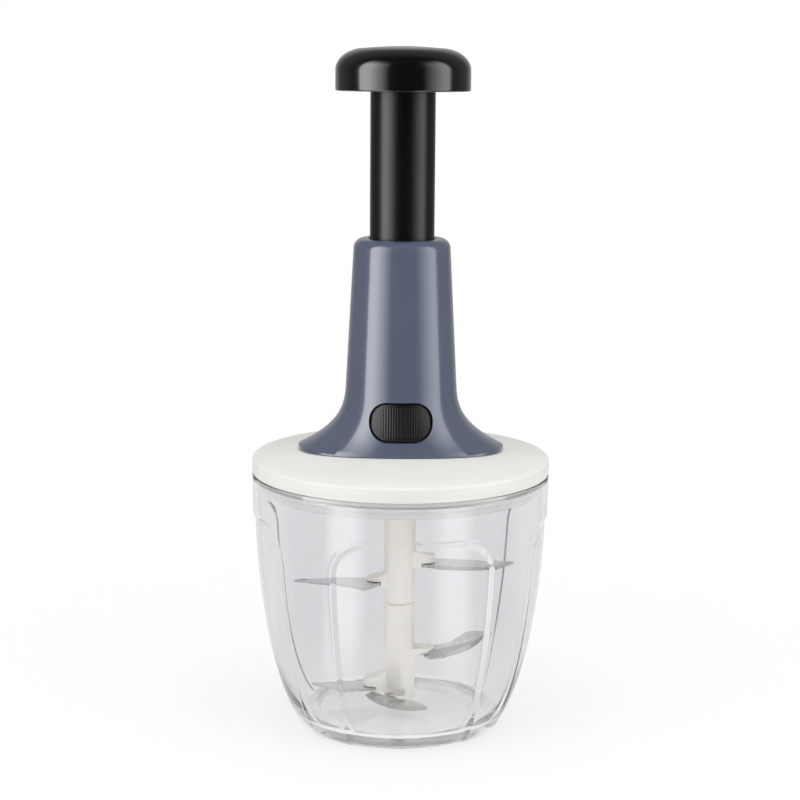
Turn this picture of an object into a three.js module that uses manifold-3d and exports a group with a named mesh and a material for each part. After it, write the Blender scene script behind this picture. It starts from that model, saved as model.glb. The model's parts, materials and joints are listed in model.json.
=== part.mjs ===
// Press chopper: a push-down plunger turns a twisted bar, which spins five blades in a clear bowl.
// Millimetres, +Z up, origin at the centre of the bowl's foot, lock button towards -Y.
import * as THREE from 'three';
import { mergeVertices } from 'three/addons/utils/BufferGeometryUtils.js';
import Module from 'manifold-3d';

const wasm = await Module();
wasm.setup();

// Clearances and cuts
const seatGap = 0.2;
const runGap = 0.3;
const slotGap = 0.35;
const overrun = 3;
const mergeDistance = 0.0005;

// Facets around round pieces and along curves
const bowlFacets = 48;
const bodyFacets = 32;
const innerFacets = 20;
const smallFacets = 12;
const screwFacets = 8;
const arcSteps = 3;
const wallSteps = 5;
const flareSteps = 6;
const bladeSteps = 8;
const curlSteps = 8;
const wireSides = 5;

// Bowl
const bowlHeight = 112.5;
const bowlRimRadius = 65;
const bowlFootRadius = 44.2;
const bowlWall = 2.2;
const bowlFloor = 5.3;
const bowlFootWall = 2.6;
const bowlCurveShares = { rise: 2.19, outer: 0.667, inner: 0.55 };
const rimRound = 0.5;
const floorDishInset = 4.1;
const floorDishDepth = 0.7;
const footRingWidth = 7;
const footRecess = 1;
const panelCount = 4;
const panelDepth = 0.85;
const panelDrop = 18.5;
const panelCorner = 13;
const panelHalfAngle = THREE.MathUtils.degToRad(31.2);
const panelTurn = THREE.MathUtils.degToRad(5.7);
const pivotBossRadius = 5;
const pivotBossHeight = 2.2;
const pinRadius = 2;
const pinDepth = 4.5;
const pinReach = 14;

// Lid
const lidEdgeHeight = 5.7;
const lidEdgeRound = 1.4;
const lidDomeRise = 7.7;
const lidWall = 2.4;
const lidPadMargin = 1.3;
const plugGap = 1.8;
const plugWall = 2;
const plugDepth = 7.4;
const wellWall = 2;
const gasketHeight = 2.4;
const gasketRootDepth = 1;
const gasketSkirtGap = 2.6;
const gasketLipHeight = 0.4;

// Clutch cover under the lid, and its screws
const coverThickness = 2.5;
const coverDrop = 1.4;
const coverSpigotHeight = 2.8;
const coverSpigotWall = 1.8;
const coverScrewCount = 3;
const coverBossRadius = 3.2;
const threadRadius = 1.2;
const screwHeadRadius = 2.3;
const screwHeadHeight = 1.3;
const screwLength = 10;
const coreShare = 0.85;

// Handle shell
const handleShoulder = 3.5;
const handleWall = 2.4;
const handleTaperShare = 0.0465;
const flareRise = 23.8;
const flareDrop = 1.9;
const footSideReach = 23.8;
const footFrontReach = 9.3;
const flareCurveShares = { length: 2.25, depth: 1.5 };
const handleScrewInset = 13.4;
const handleBossRadius = 3.8;

// Lock button in the front of the handle
const buttonRise = 12.5;
const windowWidth = 27.2;
const windowHeight = 16.8;
const windowCorner = 8;
const buttonGap = 0.35;
const buttonSink = 0.7;
const buttonFlange = 1.4;
const buttonFlangeThickness = 0.9;
const tongueWidth = 8;
const tongueThickness = 2.2;
const tongueRoot = 1.2;
const tongueDrop = 0.1;
const buttonSpringSpacing = 17;
const buttonSpringDrop = 5.5;
const buttonSpringRadius = 1.6;
const buttonSpringWire = 0.25;
const buttonSpringCurls = 3;
const buttonPocketDepth = 1;

// Plunger: palm knob, tube and drive nut
const strokeTurns = 2;
const tubeRadius = 13.9;
const tubeWall = 2.2;
const tubeFlangeThickness = 3;
const tubeEngagement = 18.3;
const knobStopGap = 4.4;
const lugWidth = 4.4;
const knobOverhang = 14.9;
const knobHeight = 18.7;
const knobEdgeWidth = 10.8;
const knobEdgeHeight = 9.2;
const knobCrown = 0.8;
const knobWall = 2.6;
const knobRimRound = 0.6;
const knobBaseThickness = 2.1;
const knobHubWall = 3.3;
const knobSpringStop = 8.7;
const tubeTopFlangeWidth = 4.6;
const tubeTopFlangeThickness = 2.4;
const nutFlangeThickness = 3;
const nutSpigot = 4.9;
const nutScrewRadius = 0.8;
const nutScrewHeadRadius = 1.3;
const nutScrewHeadHeight = 1.2;
const nutScrewLength = 4.8;

// Collar bush and guide sleeve in the handle
const bushWall = 4.2;
const sleeveWall = 1.3;
const sleeveFlangeWidth = 4.9;
const sleeveFlangeThickness = 2;
const sleeveBossHeight = 5;
const sleeveBossRadius = 2.3;
const sleeveScrewGap = 2.8;
const slotFoot = 3;

// Twisted bar, dog clutch and its plate
const barWidth = 9;
const barThickness = 2.4;
const barTurnLength = 29;
const barStepsPerTurn = 24;
const barTopReach = 2.5;
const plateThickness = 1.5;
const neckWall = 1.4;
const clipThickness = 0.9;
const clipWidth = 2.7;
const clipGroove = 0.9;
const clipMouth = 8.4;
const neckTip = 0.9;
const dogFlangeWidth = 4.6;
const dogLift = 2.4;
const toothCount = 8;
const toothHeight = 1.8;
const toothMesh = 0.75;
const toothLag = THREE.MathUtils.degToRad(2.6);
const toothInset = 0.7;
const toothRimInset = 0.4;
const socketFlangeWidth = 1.9;
const socketFlangeThickness = 2;
const socketJournalRadius = 8.5;
const socketJournalLength = 4.6;
const socketBodyHeight = 6.2;
const hexAcrossFlats = 9.6;
const hexReach = 9.8;
const dogPinRadius = 1;
const dogPinHeight = 4.2;
const seatDiscMargin = 1.1;
const seatDiscThickness = 2.6;
const seatStudInset = 1.7;
const seatStudTaper = 0.66;
const seatStudHeight = 3.4;
const seatSlotDepth = 1.4;
const springTubeGap = 3.4;
const springWire = 0.6;
const springCurls = 13;

// Rotor: two hub tubes with cream arms, and five blades
const hubRadius = 7;
const lowerHubLength = 45.9;
const hubSpigotLength = 6.5;
const hubSpigotRadius = 5.4;
const hubChamfer = 0.6;
const bladeThickness = 1.1;
const bladeGrind = 2.2;
const bladeTangWidth = 5;
const bladeTangDepth = 2.6;
const bladeShoulderGap = 0.6;
const armWidth = 9;
const armBelow = 1.3;
const armCorner = 4.1;
const armEdge = 0.6;
const notchRise = 6.4;
const notchReach = 3.6;
const notchSide = 2.5;

// Radii and reaches that follow from what fits inside what
const screwCore = threadRadius * coreShare;
const pilotRadius = screwCore + seatGap;
const screwHoleRadius = threadRadius + seatGap;
const neckRadius = barWidth / 2 + neckWall;
const clipRadius = neckRadius + clipWidth;
const dogRadius = neckRadius + dogFlangeWidth;
const toothInnerRadius = neckRadius + toothInset;
const toothOuterRadius = dogRadius - toothRimInset;
const socketFlangeRadius = dogRadius + socketFlangeWidth;
const wellRadius = socketFlangeRadius + 2 * runGap + coverSpigotWall + seatGap;
const wellOuter = wellRadius + wellWall;
const coverScrewCircle = wellOuter + coverBossRadius - seatGap;
const bushRadius = tubeRadius + runGap + bushWall;
const sleeveRadius = bushRadius;
const sleeveBore = sleeveRadius - sleeveWall;
const sleeveFlangeRadius = sleeveRadius + sleeveFlangeWidth;
const sleeveScrewReach = sleeveRadius + sleeveScrewGap;
const tubeFlangeRadius = sleeveBore - runGap;
const lugReach = sleeveRadius - runGap;
const tubeTopFlangeRadius = tubeRadius + tubeTopFlangeWidth;
const knobHubRadius = tubeRadius + knobHubWall;
const knobRadius = tubeRadius + knobOverhang;
const springRadius = tubeRadius - tubeWall - springTubeGap;
const seatDiscRadius = springRadius + seatDiscMargin;
const seatStudRadius = springRadius - seatStudInset;
const handleTopRadius = bushRadius + runGap + handleWall;
const footHalfLength = handleTopRadius + footSideReach;
const footHalfDepth = handleTopRadius + footFrontReach;
const handleScrewReach = footHalfLength - handleScrewInset;
const bowlFloorRadius = bowlFootRadius - bowlFootWall;
const floorDishRadius = bowlFloorRadius - floorDishInset;
const lidRadius = bowlRimRadius;
const plugRadius = bowlRimRadius - bowlWall - plugGap;
const lidPadRadius = sleeveFlangeRadius + lidPadMargin;
const bladeTangStart = hubRadius - bladeTangDepth;
const bladeShoulder = hubRadius + bladeShoulderGap;

// Levels up the axis
const stroke = strokeTurns * barTurnLength;
const panelTop = bowlHeight - panelDrop;
const lidSeat = bowlHeight + runGap;
const lidEdge = lidSeat + lidEdgeHeight;
const lidPadTop = lidEdge + lidDomeRise;
const plugBottom = lidSeat - plugDepth;
const coverTop = plugBottom + coverDrop;
const coverBottom = coverTop - coverThickness;
const plateBottom = lidPadTop + seatGap;
const plateTop = plateBottom + plateThickness;
const sleeveBottom = plateTop + seatGap;
const flareStart = lidPadTop + flareRise;
const flareEnd = lidPadTop - flareDrop;
const buttonHeight = lidPadTop + buttonRise;
const tongueBottom = buttonHeight - tongueDrop;
const tubeFlangeTop = tongueBottom - runGap + stroke;
const tubeBottom = tubeFlangeTop - tubeFlangeThickness;
const bushBottom = tubeFlangeTop + runGap;
const handleTop = bushBottom + tubeEngagement;
const knobBottom = handleTop + stroke + knobStopGap;
const knobTop = knobBottom + knobHeight;
const nutFlangeTop = tubeBottom - seatGap;
const nutBottom = nutFlangeTop - nutFlangeThickness;
const nutTop = nutFlangeTop + nutSpigot;
const tubeTop = knobBottom + knobBaseThickness + 2 * seatGap + tubeTopFlangeThickness;
const socketFlangeBottom = coverTop + seatGap;
const socketBottom = socketFlangeBottom - socketJournalLength;
const socketToothRoot = socketFlangeBottom + socketFlangeThickness + socketBodyHeight;
const dogToothRoot = socketToothRoot + toothMesh + toothHeight;
const dogShoulder = plateBottom - dogLift;
const clipBottom = plateTop + seatGap;
const neckTop = clipBottom + clipThickness + neckTip;
const barBottom = dogToothRoot + toothHeight;
const barStep = barTurnLength / barStepsPerTurn;
const barTwist = -2 * Math.PI / barTurnLength;
const barSteps = Math.ceil((nutTop + barTopReach - barBottom) / barStep);
const barTop = barBottom + barSteps * barStep;
const seatBottom = barTop + barStep - seatSlotDepth;
const seatTop = seatBottom + seatDiscThickness;
const springTop = knobBottom + knobSpringStop - seatGap;
const hubBottom = bowlFloor - floorDishDepth + pivotBossHeight + runGap;
const hubSeam = hubBottom + lowerHubLength;
const hubTop = socketBottom - runGap;
const spigotBoreTop = hubSeam + hubSpigotLength + seatGap;
const notchTop = hubBottom + notchRise;
const lidPadAtScrew = lidEdge + lidDomeRise * (1 - (handleScrewReach / (lidRadius - lidEdgeRound)) ** 2);
const handleScrewSeat = lidPadAtScrew - 2 * lidWall;

// Materials
const plastic = (name, color, roughness) =>
  new THREE.MeshStandardMaterial({ name, color, roughness, metalness: 0 });
const steel = new THREE.MeshStandardMaterial({
  name: 'blade_steel', color: 0xb4b5b8, roughness: 0.3, metalness: 1,
});
const clearPlastic = new THREE.MeshStandardMaterial({
  name: 'clear_plastic', color: 0xe6e7ec, roughness: 0.08, metalness: 0, transparent: true, opacity: 0.35,
});
const blueGloss = plastic('blue_grey_gloss', 0x6b7390, 0.22);
const whitePlastic = plastic('off_white', 0xe9e8e2, 0.45);
const creamPlastic = plastic('cream', 0xdedacf, 0.5);
const blackSatin = plastic('black_satin', 0x17171a, 0.32);
const buttonBlack = plastic('button_black', 0x2b2b2b, 0.55);
const silicone = plastic('silicone', 0xe4e4de, 0.75);
const acetal = plastic('acetal', 0xd8d6cc, 0.4);

// Geometry helpers
function signedVolume(geometry) {
  const corner = [new THREE.Vector3(), new THREE.Vector3(), new THREE.Vector3()];
  const index = geometry.index.array;
  let volume = 0;
  for (let i = 0; i < index.length; i += 3) {
    corner.forEach((point, k) => point.fromBufferAttribute(geometry.attributes.position, index[i + k]));
    volume += corner[0].dot(corner[1].clone().cross(corner[2]));
  }
  return volume;
}

// Merged vertices, no flat triangles, faces outward
function closed(geometry) {
  geometry.deleteAttribute('normal');
  geometry.deleteAttribute('uv');
  const merged = mergeVertices(geometry, mergeDistance);
  const index = merged.index.array;
  const kept = [];
  for (let i = 0; i < index.length; i += 3) {
    const [a, b, c] = index.slice(i, i + 3);
    if (a !== b && b !== c && c !== a) kept.push(a, b, c);
  }
  merged.setIndex(kept);
  if (signedVolume(merged) < 0) {
    const turned = [];
    for (let i = 0; i < kept.length; i += 3) turned.push(kept[i], kept[i + 2], kept[i + 1]);
    merged.setIndex(turned);
  }
  return merged;
}

function solidOf(geometry) {
  return new wasm.Manifold(new wasm.Mesh({
    numProp: 3,
    vertProperties: Float32Array.from(geometry.attributes.position.array),
    triVerts: Uint32Array.from(geometry.index.array),
  }));
}

function geometryOf(solid) {
  const mesh = solid.getMesh();
  const geometry = new THREE.BufferGeometry();
  geometry.setAttribute('position', new THREE.BufferAttribute(mesh.vertProperties, 3));
  geometry.setIndex(new THREE.BufferAttribute(mesh.triVerts, 1));
  return geometry;
}

const combine = (how) => (first, ...others) =>
  geometryOf(others.reduce((solid, other) => solid[how](solidOf(other)), solidOf(first)));
const joined = combine('add');
const cut = combine('subtract');
const shared = combine('intersect');

// A profile of [radius, height] points turned round Z
function turned(points, facets = bodyFacets) {
  const geometry = new THREE.LatheGeometry(points.map(([r, z]) => new THREE.Vector2(r, z)), facets);
  return closed(geometry.rotateX(Math.PI / 2));
}

// A ring or disc between two radii and two heights
function ring(inner, outer, bottom, top, facets = bodyFacets) {
  if (inner === 0) return turned([[0, bottom], [outer, bottom], [outer, top], [0, top]], facets);
  const profile = [[inner, bottom], [outer, bottom], [outer, top], [inner, top], [inner, bottom]];
  return turned(profile, facets);
}

// A shape in X and Y raised from bottom to top
function raised(shape, bottom, top) {
  const options = { depth: top - bottom, bevelEnabled: false, curveSegments: arcSteps };
  return closed(new THREE.ExtrudeGeometry(shape, options).translate(0, 0, bottom));
}

// A shape drawn in X and Z, running from nearY back to farY
function frontal(shape, nearY, farY) {
  const options = { depth: farY - nearY, bevelEnabled: false, curveSegments: arcSteps };
  const geometry = new THREE.ExtrudeGeometry(shape, options);
  return closed(geometry.rotateX(Math.PI / 2).translate(0, farY, 0));
}

function roundedRectangle(width, height, corner, centreY = 0) {
  const [x, y] = [width / 2, height / 2];
  const shape = new THREE.Shape();
  shape.moveTo(-x + corner, centreY - y);
  shape.absarc(x - corner, centreY - y + corner, corner, -Math.PI / 2, 0);
  shape.absarc(x - corner, centreY + y - corner, corner, 0, Math.PI / 2);
  shape.absarc(-x + corner, centreY + y - corner, corner, Math.PI / 2, Math.PI);
  shape.absarc(-x + corner, centreY - y + corner, corner, Math.PI, 1.5 * Math.PI);
  return shape;
}

function rectangle(width, height, centreY = 0) {
  const [x, y] = [width / 2, height / 2];
  const corners = [[-x, -y], [x, -y], [x, y], [-x, y]];
  return new THREE.Shape(corners.map(([across, up]) => new THREE.Vector2(across, centreY + up)));
}

// Points of a quarter round from one angle to another, in a profile
function arc(r, z, radiusR, radiusZ, from, to, steps = arcSteps) {
  return Array.from({ length: steps + 1 }, (_, i) => {
    const angle = from + (to - from) * i / steps;
    return [r + radiusR * Math.cos(angle), z + radiusZ * Math.sin(angle)];
  });
}

const quarter = Math.PI / 2;

// Everything in a geometry moved by a mesh's own placing
function placed(geometry, mesh) {
  mesh.updateMatrix();
  return geometry.clone().applyMatrix4(mesh.matrix);
}

function piece(name, geometry, material) {
  const mesh = new THREE.Mesh(geometry, material);
  mesh.name = name;
  return mesh;
}

// One unbroken round wire that curls up Z, cut off square at both ends
function coilSpring(radius, wire, curls, bottom, top, name) {
  const steps = curls * curlSteps;
  const rise = (top - bottom - 2 * wire) / steps;
  const positions = [];
  const index = [];
  for (let i = 0; i <= steps; i += 1) {
    const turn = 2 * Math.PI * i / curlSteps;
    for (let k = 0; k < wireSides; k += 1) {
      const angle = 2 * Math.PI * k / wireSides;
      const reach = radius + wire * Math.cos(angle);
      const height = bottom + wire + rise * i + wire * Math.sin(angle);
      positions.push(reach * Math.cos(turn), reach * Math.sin(turn), height);
    }
  }
  for (let i = 0; i < steps; i += 1) {
    for (let k = 0; k < wireSides; k += 1) {
      const [a, b] = [i * wireSides + k, i * wireSides + (k + 1) % wireSides];
      index.push(a, b, b + wireSides, a, b + wireSides, a + wireSides);
    }
  }
  const last = steps * wireSides;
  for (let k = 1; k < wireSides - 1; k += 1) {
    index.push(0, k + 1, k, last, last + k, last + k + 1);
  }
  const geometry = new THREE.BufferGeometry();
  geometry.setAttribute('position', new THREE.Float32BufferAttribute(positions, 3));
  geometry.setIndex(index);
  const leastGap = rise * curlSteps - 2 * wire;
  console.log(`${name}: least gap between curls ${leastGap.toFixed(2)} mm`);
  return closed(geometry);
}

// Bowl
function bowlRadius(z, foot, rim, bottom, power) {
  const share = THREE.MathUtils.clamp((z - bottom) / (bowlHeight - bottom), 0, 1);
  return foot + (rim - foot) * (1 - (1 - share) ** bowlCurveShares.rise) ** power;
}

const outerRadius = (z) => bowlRadius(z, bowlFootRadius, bowlRimRadius, 0, bowlCurveShares.outer);
const innerRadius = (z) =>
  bowlRadius(z, bowlFloorRadius, bowlRimRadius - bowlWall, bowlFloor, bowlCurveShares.inner);

// Heights that crowd towards the tight curve at the bottom
function wallHeights(bottom, top) {
  return Array.from({ length: wallSteps + 1 }, (_, i) => bottom + (top - bottom) * (i / wallSteps) ** 2);
}

// The four shallow arched panels, as solids that cut into the wall from outside
function panelCutters() {
  const heights = wallHeights(0, bowlHeight);
  const inward = heights.map((z) => [outerRadius(z) - panelDepth, z]);
  const outward = heights.map((z) => [outerRadius(z) + overrun, z]).reverse();
  const lowest = [[outward.at(-1)[0], -overrun], [inward[0][0], -overrun]];
  const band = turned([...inward, ...outward, ...lowest, lowest[1]].concat([inward[0]]), bowlFacets);
  const halfWidth = (z) => outerRadius(z) * Math.sin(panelHalfAngle);
  const sideHeights = wallHeights(0, panelTop - panelCorner);
  const shape = new THREE.Shape();
  shape.moveTo(-halfWidth(0), -overrun);
  shape.lineTo(halfWidth(0), -overrun);
  sideHeights.forEach((z) => shape.lineTo(halfWidth(z), z));
  const top = halfWidth(panelTop - panelCorner);
  shape.quadraticCurveTo(top, panelTop, top - panelCorner, panelTop);
  shape.lineTo(panelCorner - top, panelTop);
  shape.quadraticCurveTo(-top, panelTop, -top, panelTop - panelCorner);
  [...sideHeights].reverse().forEach((z) => shape.lineTo(-halfWidth(z), z));
  const face = frontal(shape, -bowlRimRadius - overrun, 0);
  return Array.from({ length: panelCount }, (_, i) => {
    const turn = panelTurn + 2 * Math.PI * i / panelCount;
    return shared(band, face.clone().rotateZ(turn));
  });
}

function bowl() {
  const outside = wallHeights(0, bowlHeight - rimRound).map((z) => [outerRadius(z), z]);
  const inside = wallHeights(bowlFloor, bowlHeight - rimRound).map((z) => [innerRadius(z), z]).reverse();
  const recessRadius = bowlFootRadius - footRingWidth;
  const dish = bowlFloor - floorDishDepth;
  const wall = turned([
    [0, footRecess], [recessRadius - footRecess, footRecess], [recessRadius, 0],
    ...outside,
    [bowlRimRadius - rimRound, bowlHeight],
    [bowlRimRadius - bowlWall + rimRound, bowlHeight],
    ...inside,
    [floorDishRadius, bowlFloor],
    [floorDishRadius - floorDishDepth, dish],
    [pivotBossRadius + floorDishDepth, dish],
    [pivotBossRadius, dish + pivotBossHeight],
    [0, dish + pivotBossHeight],
  ], bowlFacets);
  const pinHoleBottom = hubBottom - runGap - pinDepth;
  const pinHole = ring(0, pinRadius + seatGap, pinHoleBottom, bowlFloor + overrun, smallFacets);
  return cut(wall, ...panelCutters(), pinHole);
}

function pivotPin() {
  const bottom = hubBottom - runGap - pinDepth + seatGap;
  const top = hubBottom + pinReach;
  return turned([
    [0, bottom], [pinRadius, bottom], [pinRadius, top - pinRadius],
    ...arc(0, top - pinRadius, pinRadius, pinRadius, 0, quarter),
  ], smallFacets);
}

// Lid
const domeHeight = (r) => lidPadTop - lidDomeRise * (r / (lidRadius - lidEdgeRound)) ** 2;
const domeOverShares = [0.88, 0.73, 0.55];
const domeUnderShares = [0.6, 0.8, 1];
const handleSeatShares = [1.05, 0.75, 0.6, 0.45, 0.3, 0];
const gasketBottom = plugBottom + gasketSkirtGap;
const gasketRoot = plugRadius - gasketRootDepth;

function lidScrewPads() {
  return [-handleScrewReach, handleScrewReach].map((x) =>
    ring(0, handleBossRadius, handleScrewSeat, lidPadAtScrew - lidWall / 2, smallFacets).translate(x, 0, 0));
}

const onCircle = (count, radius, place) => Array.from({ length: count }, (_, i) => {
  const angle = quarter + 2 * Math.PI * i / count;
  return place(radius * Math.cos(angle), radius * Math.sin(angle));
});

function lid() {
  const skirtInner = plugRadius - plugWall;
  const radiiUnder = domeUnderShares.map((share) => share * skirtInner);
  const radiiOver = domeOverShares.map((share) => share * (lidRadius - lidEdgeRound));
  const shell = turned([
    [wellRadius, coverTop + seatGap], [wellOuter, coverTop + seatGap],
    [wellOuter, lidPadTop - lidWall], [lidPadRadius, lidPadTop - lidWall],
    ...radiiUnder.map((r) => [r, domeHeight(r) - lidWall]),
    [skirtInner, plugBottom], [plugRadius, plugBottom],
    [plugRadius, gasketBottom], [gasketRoot, gasketBottom],
    [gasketRoot, gasketBottom + gasketHeight], [plugRadius, gasketBottom + gasketHeight],
    [plugRadius, lidSeat], [lidRadius - rimRound, lidSeat], [lidRadius, lidSeat + rimRound],
    ...arc(lidRadius - lidEdgeRound, lidEdge - lidEdgeRound, lidEdgeRound, lidEdgeRound, 0, quarter),
    ...radiiOver.map((r) => [r, domeHeight(r)]),
    [lidPadRadius, domeHeight(lidPadRadius)], [lidPadRadius, lidPadTop],
    [wellRadius, lidPadTop], [wellRadius, coverTop + seatGap],
  ]);
  const bosses = onCircle(coverScrewCount, coverScrewCircle, (x, y) =>
    ring(0, coverBossRadius, coverTop + seatGap, lidPadTop - lidWall / 2, smallFacets).translate(x, y, 0));
  const pilots = onCircle(coverScrewCount, coverScrewCircle, (x, y) =>
    ring(0, screwHoleRadius, coverBottom, coverTop + screwLength, screwFacets).translate(x, y, 0));
  const shankHoles = [-handleScrewReach, handleScrewReach, -sleeveScrewReach, sleeveScrewReach].map((x) =>
    ring(0, screwHoleRadius, coverTop, lidPadTop + overrun, screwFacets).translate(x, 0, 0));
  return cut(joined(shell, ...bosses, ...lidScrewPads()), ...pilots, ...shankHoles);
}

function lidGasket() {
  const inner = gasketRoot + seatGap;
  const lip = innerRadius(gasketBottom) - runGap;
  const waist = (plugRadius + lip) / 2;
  const [bottom, top] = [gasketBottom + seatGap, gasketBottom + gasketHeight - seatGap];
  const middle = (bottom + top) / 2;
  return turned([
    [inner, bottom], [waist, bottom], [lip, bottom + gasketLipHeight], [waist, middle],
    [lip, top - gasketLipHeight], [waist, top], [inner, top], [inner, bottom],
  ]);
}

function clutchCover() {
  const disc = ring(0, wellOuter, coverBottom, coverTop, innerFacets);
  const ears = onCircle(coverScrewCount, coverScrewCircle, (x, y) =>
    ring(0, coverBossRadius, coverBottom, coverTop, smallFacets).translate(x, y, 0));
  const spigotOuter = wellRadius - seatGap;
  const spigotTop = coverTop + coverSpigotHeight;
  const spigot = ring(spigotOuter - coverSpigotWall, spigotOuter, coverBottom, spigotTop, innerFacets);
  const boreRadius = socketJournalRadius + runGap;
  const bore = ring(0, boreRadius, coverBottom - overrun, coverTop + overrun, innerFacets);
  const holes = onCircle(coverScrewCount, coverScrewCircle, (x, y) =>
    ring(0, screwHoleRadius, coverBottom - overrun, coverTop + overrun, screwFacets)
      .translate(x, y, 0));
  return cut(joined(disc, ...ears, spigot), bore, ...holes);
}

// A pan-head screw pointing up, its head's top face at zero
function screw(shank, headRadius, headHeight, length) {
  return turned([
    [0, -headHeight], [headRadius, -headHeight / 2], [headRadius, 0], [shank, 0],
    [shank, length - shank], [0, length],
  ], screwFacets);
}

// Handle shell
function handleRadii(z) {
  const taper = handleTopRadius + (handleTop - z) * handleTaperShare;
  const share = THREE.MathUtils.clamp((flareStart - z) / (flareStart - flareEnd), 0, 1);
  const footTaper = handleTopRadius + (handleTop - flareEnd) * handleTaperShare;
  return [
    taper + (footHalfLength - footTaper) * share ** flareCurveShares.length,
    taper + (footHalfDepth - footTaper) * share ** flareCurveShares.depth,
  ];
}

// The handle's solid outline, drawn in by the given inset all round
function handleSolid(inset) {
  const bottom = lidEdge;
  const shoulder = Math.max(handleShoulder - inset, handleShoulder / 4);
  const levels = [bottom];
  for (let i = 0; i <= flareSteps; i += 1) {
    const share = Math.sqrt(i / flareSteps);
    levels.push(flareEnd - inset + (flareStart - flareEnd) * share);
  }
  levels.push((flareStart + handleTop) / 2);
  const top = handleTop - inset;
  const sections = levels.map((z) => [z, handleRadii(z + inset).map((radius) => radius - inset)]);
  for (let i = 0; i <= arcSteps; i += 1) {
    const angle = quarter * i / arcSteps;
    const z = top - shoulder + shoulder * Math.sin(angle);
    const pulledIn = shoulder * (1 - Math.cos(angle));
    sections.push([z, handleRadii(z + inset).map((radius) => radius - inset - pulledIn)]);
  }
  const positions = [];
  const index = [];
  sections.forEach(([z, [a, b]]) => {
    for (let k = 0; k < bodyFacets; k += 1) {
      const angle = 2 * Math.PI * k / bodyFacets;
      positions.push(a * Math.cos(angle), b * Math.sin(angle), z);
    }
  });
  for (let i = 0; i < sections.length - 1; i += 1) {
    for (let k = 0; k < bodyFacets; k += 1) {
      const [here, next] = [i * bodyFacets + k, i * bodyFacets + (k + 1) % bodyFacets];
      index.push(here, next, next + bodyFacets, here, next + bodyFacets, here + bodyFacets);
    }
  }
  const last = (sections.length - 1) * bodyFacets;
  for (let k = 1; k < bodyFacets - 1; k += 1) {
    index.push(0, k + 1, k, last, last + k, last + k + 1);
  }
  const geometry = new THREE.BufferGeometry();
  geometry.setAttribute('position', new THREE.Float32BufferAttribute(positions, 3));
  geometry.setIndex(index);
  return closed(geometry);
}

// All below the lid's domed top, raised by the seat's clearance
function belowDome() {
  const radii = handleSeatShares.map((share) => share * lidRadius);
  const top = radii.map((r) => [r, domeHeight(r) + runGap]);
  const floor = lidEdge - lidDomeRise;
  return turned([[0, floor], [top[0][0], floor], ...top], bodyFacets);
}

const windowShape = (grow) => roundedRectangle(
  windowWidth + 2 * grow, windowHeight + 2 * grow, windowCorner + grow, buttonHeight);

function handleShell() {
  const hollow = handleSolid(handleWall);
  const tubeHole = ring(0, tubeRadius + 2 * runGap, handleTop - 2 * handleWall, handleTop + overrun);
  const window = frontal(windowShape(0), -footHalfDepth - overrun, -tubeRadius);
  const shell = cut(handleSolid(0), hollow, tubeHole, window);
  const bosses = [-handleScrewReach, handleScrewReach].map((x) => shared(
    ring(0, handleBossRadius, lidEdge, flareStart, smallFacets).translate(x, 0, 0),
    handleSolid(handleWall / 2)));
  const pilots = [-handleScrewReach, handleScrewReach].map((x) =>
    ring(0, pilotRadius, lidEdge, handleScrewSeat + screwLength, screwFacets)
      .translate(x, 0, 0));
  return cut(joined(shell, ...bosses), belowDome(), ...pilots);
}

// Collar bush, sleeve and clutch plate inside the handle
function collarBush() {
  const top = handleTop - handleWall - seatGap;
  const chamfer = handleShoulder / 2;
  return turned([
    [tubeRadius + runGap, bushBottom], [bushRadius, bushBottom], [bushRadius, top - chamfer],
    [bushRadius - chamfer, top], [tubeRadius + runGap, top], [tubeRadius + runGap, bushBottom],
  ], innerFacets);
}

function guideSleeve() {
  const top = bushBottom - seatGap;
  const tube = ring(sleeveBore, sleeveRadius, sleeveBottom, top, innerFacets);
  const flangeTop = sleeveBottom + sleeveFlangeThickness;
  const flange = ring(sleeveBore, sleeveFlangeRadius, sleeveBottom, flangeTop, innerFacets);
  const sides = [-1, 1];
  const bossTop = sleeveBottom + sleeveBossHeight;
  const bosses = sides.map((side) =>
    ring(0, sleeveBossRadius, sleeveBottom, bossTop, smallFacets)
      .translate(side * sleeveScrewReach, 0, 0));
  const boreCut = ring(0, sleeveBore, sleeveBottom - overrun, bossTop + overrun, innerFacets);
  const slotWidth = lugWidth + 2 * runGap;
  const slotBottom = tubeBottom - stroke - slotFoot;
  const slots = sides.map((side) => new THREE.BoxGeometry(sleeveRadius, slotWidth, top - slotBottom + overrun)
    .translate(side * sleeveRadius, 0, (top + slotBottom + overrun) / 2)).map(closed);
  const tongueSlot = frontal(
    rectangle(tongueWidth + 4 * runGap, tongueThickness + 2 * runGap, tongueBottom + tongueThickness / 2),
    -sleeveRadius - overrun, 0);
  const holes = sides.map((side) =>
    ring(0, pilotRadius, sleeveBottom - overrun, sleeveBottom + screwLength, screwFacets)
      .translate(side * sleeveScrewReach, 0, 0));
  const flats = sides.map((side) => closed(
    new THREE.BoxGeometry(2 * sleeveFlangeRadius, sleeveFlangeRadius, 2 * sleeveBossHeight)
      .translate(0, side * (sleeveRadius + sleeveFlangeRadius / 2), sleeveBottom)));
  return cut(joined(tube, flange, ...bosses), boreCut, ...flats, ...slots, tongueSlot, ...holes);
}

function clutchPlate() {
  const holes = [-sleeveScrewReach, sleeveScrewReach].map((x) =>
    ring(0, screwHoleRadius, plateBottom - overrun, plateTop + overrun, screwFacets).translate(x, 0, 0));
  return cut(ring(neckRadius + runGap, sleeveFlangeRadius, plateBottom, plateTop, innerFacets), ...holes);
}

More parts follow.
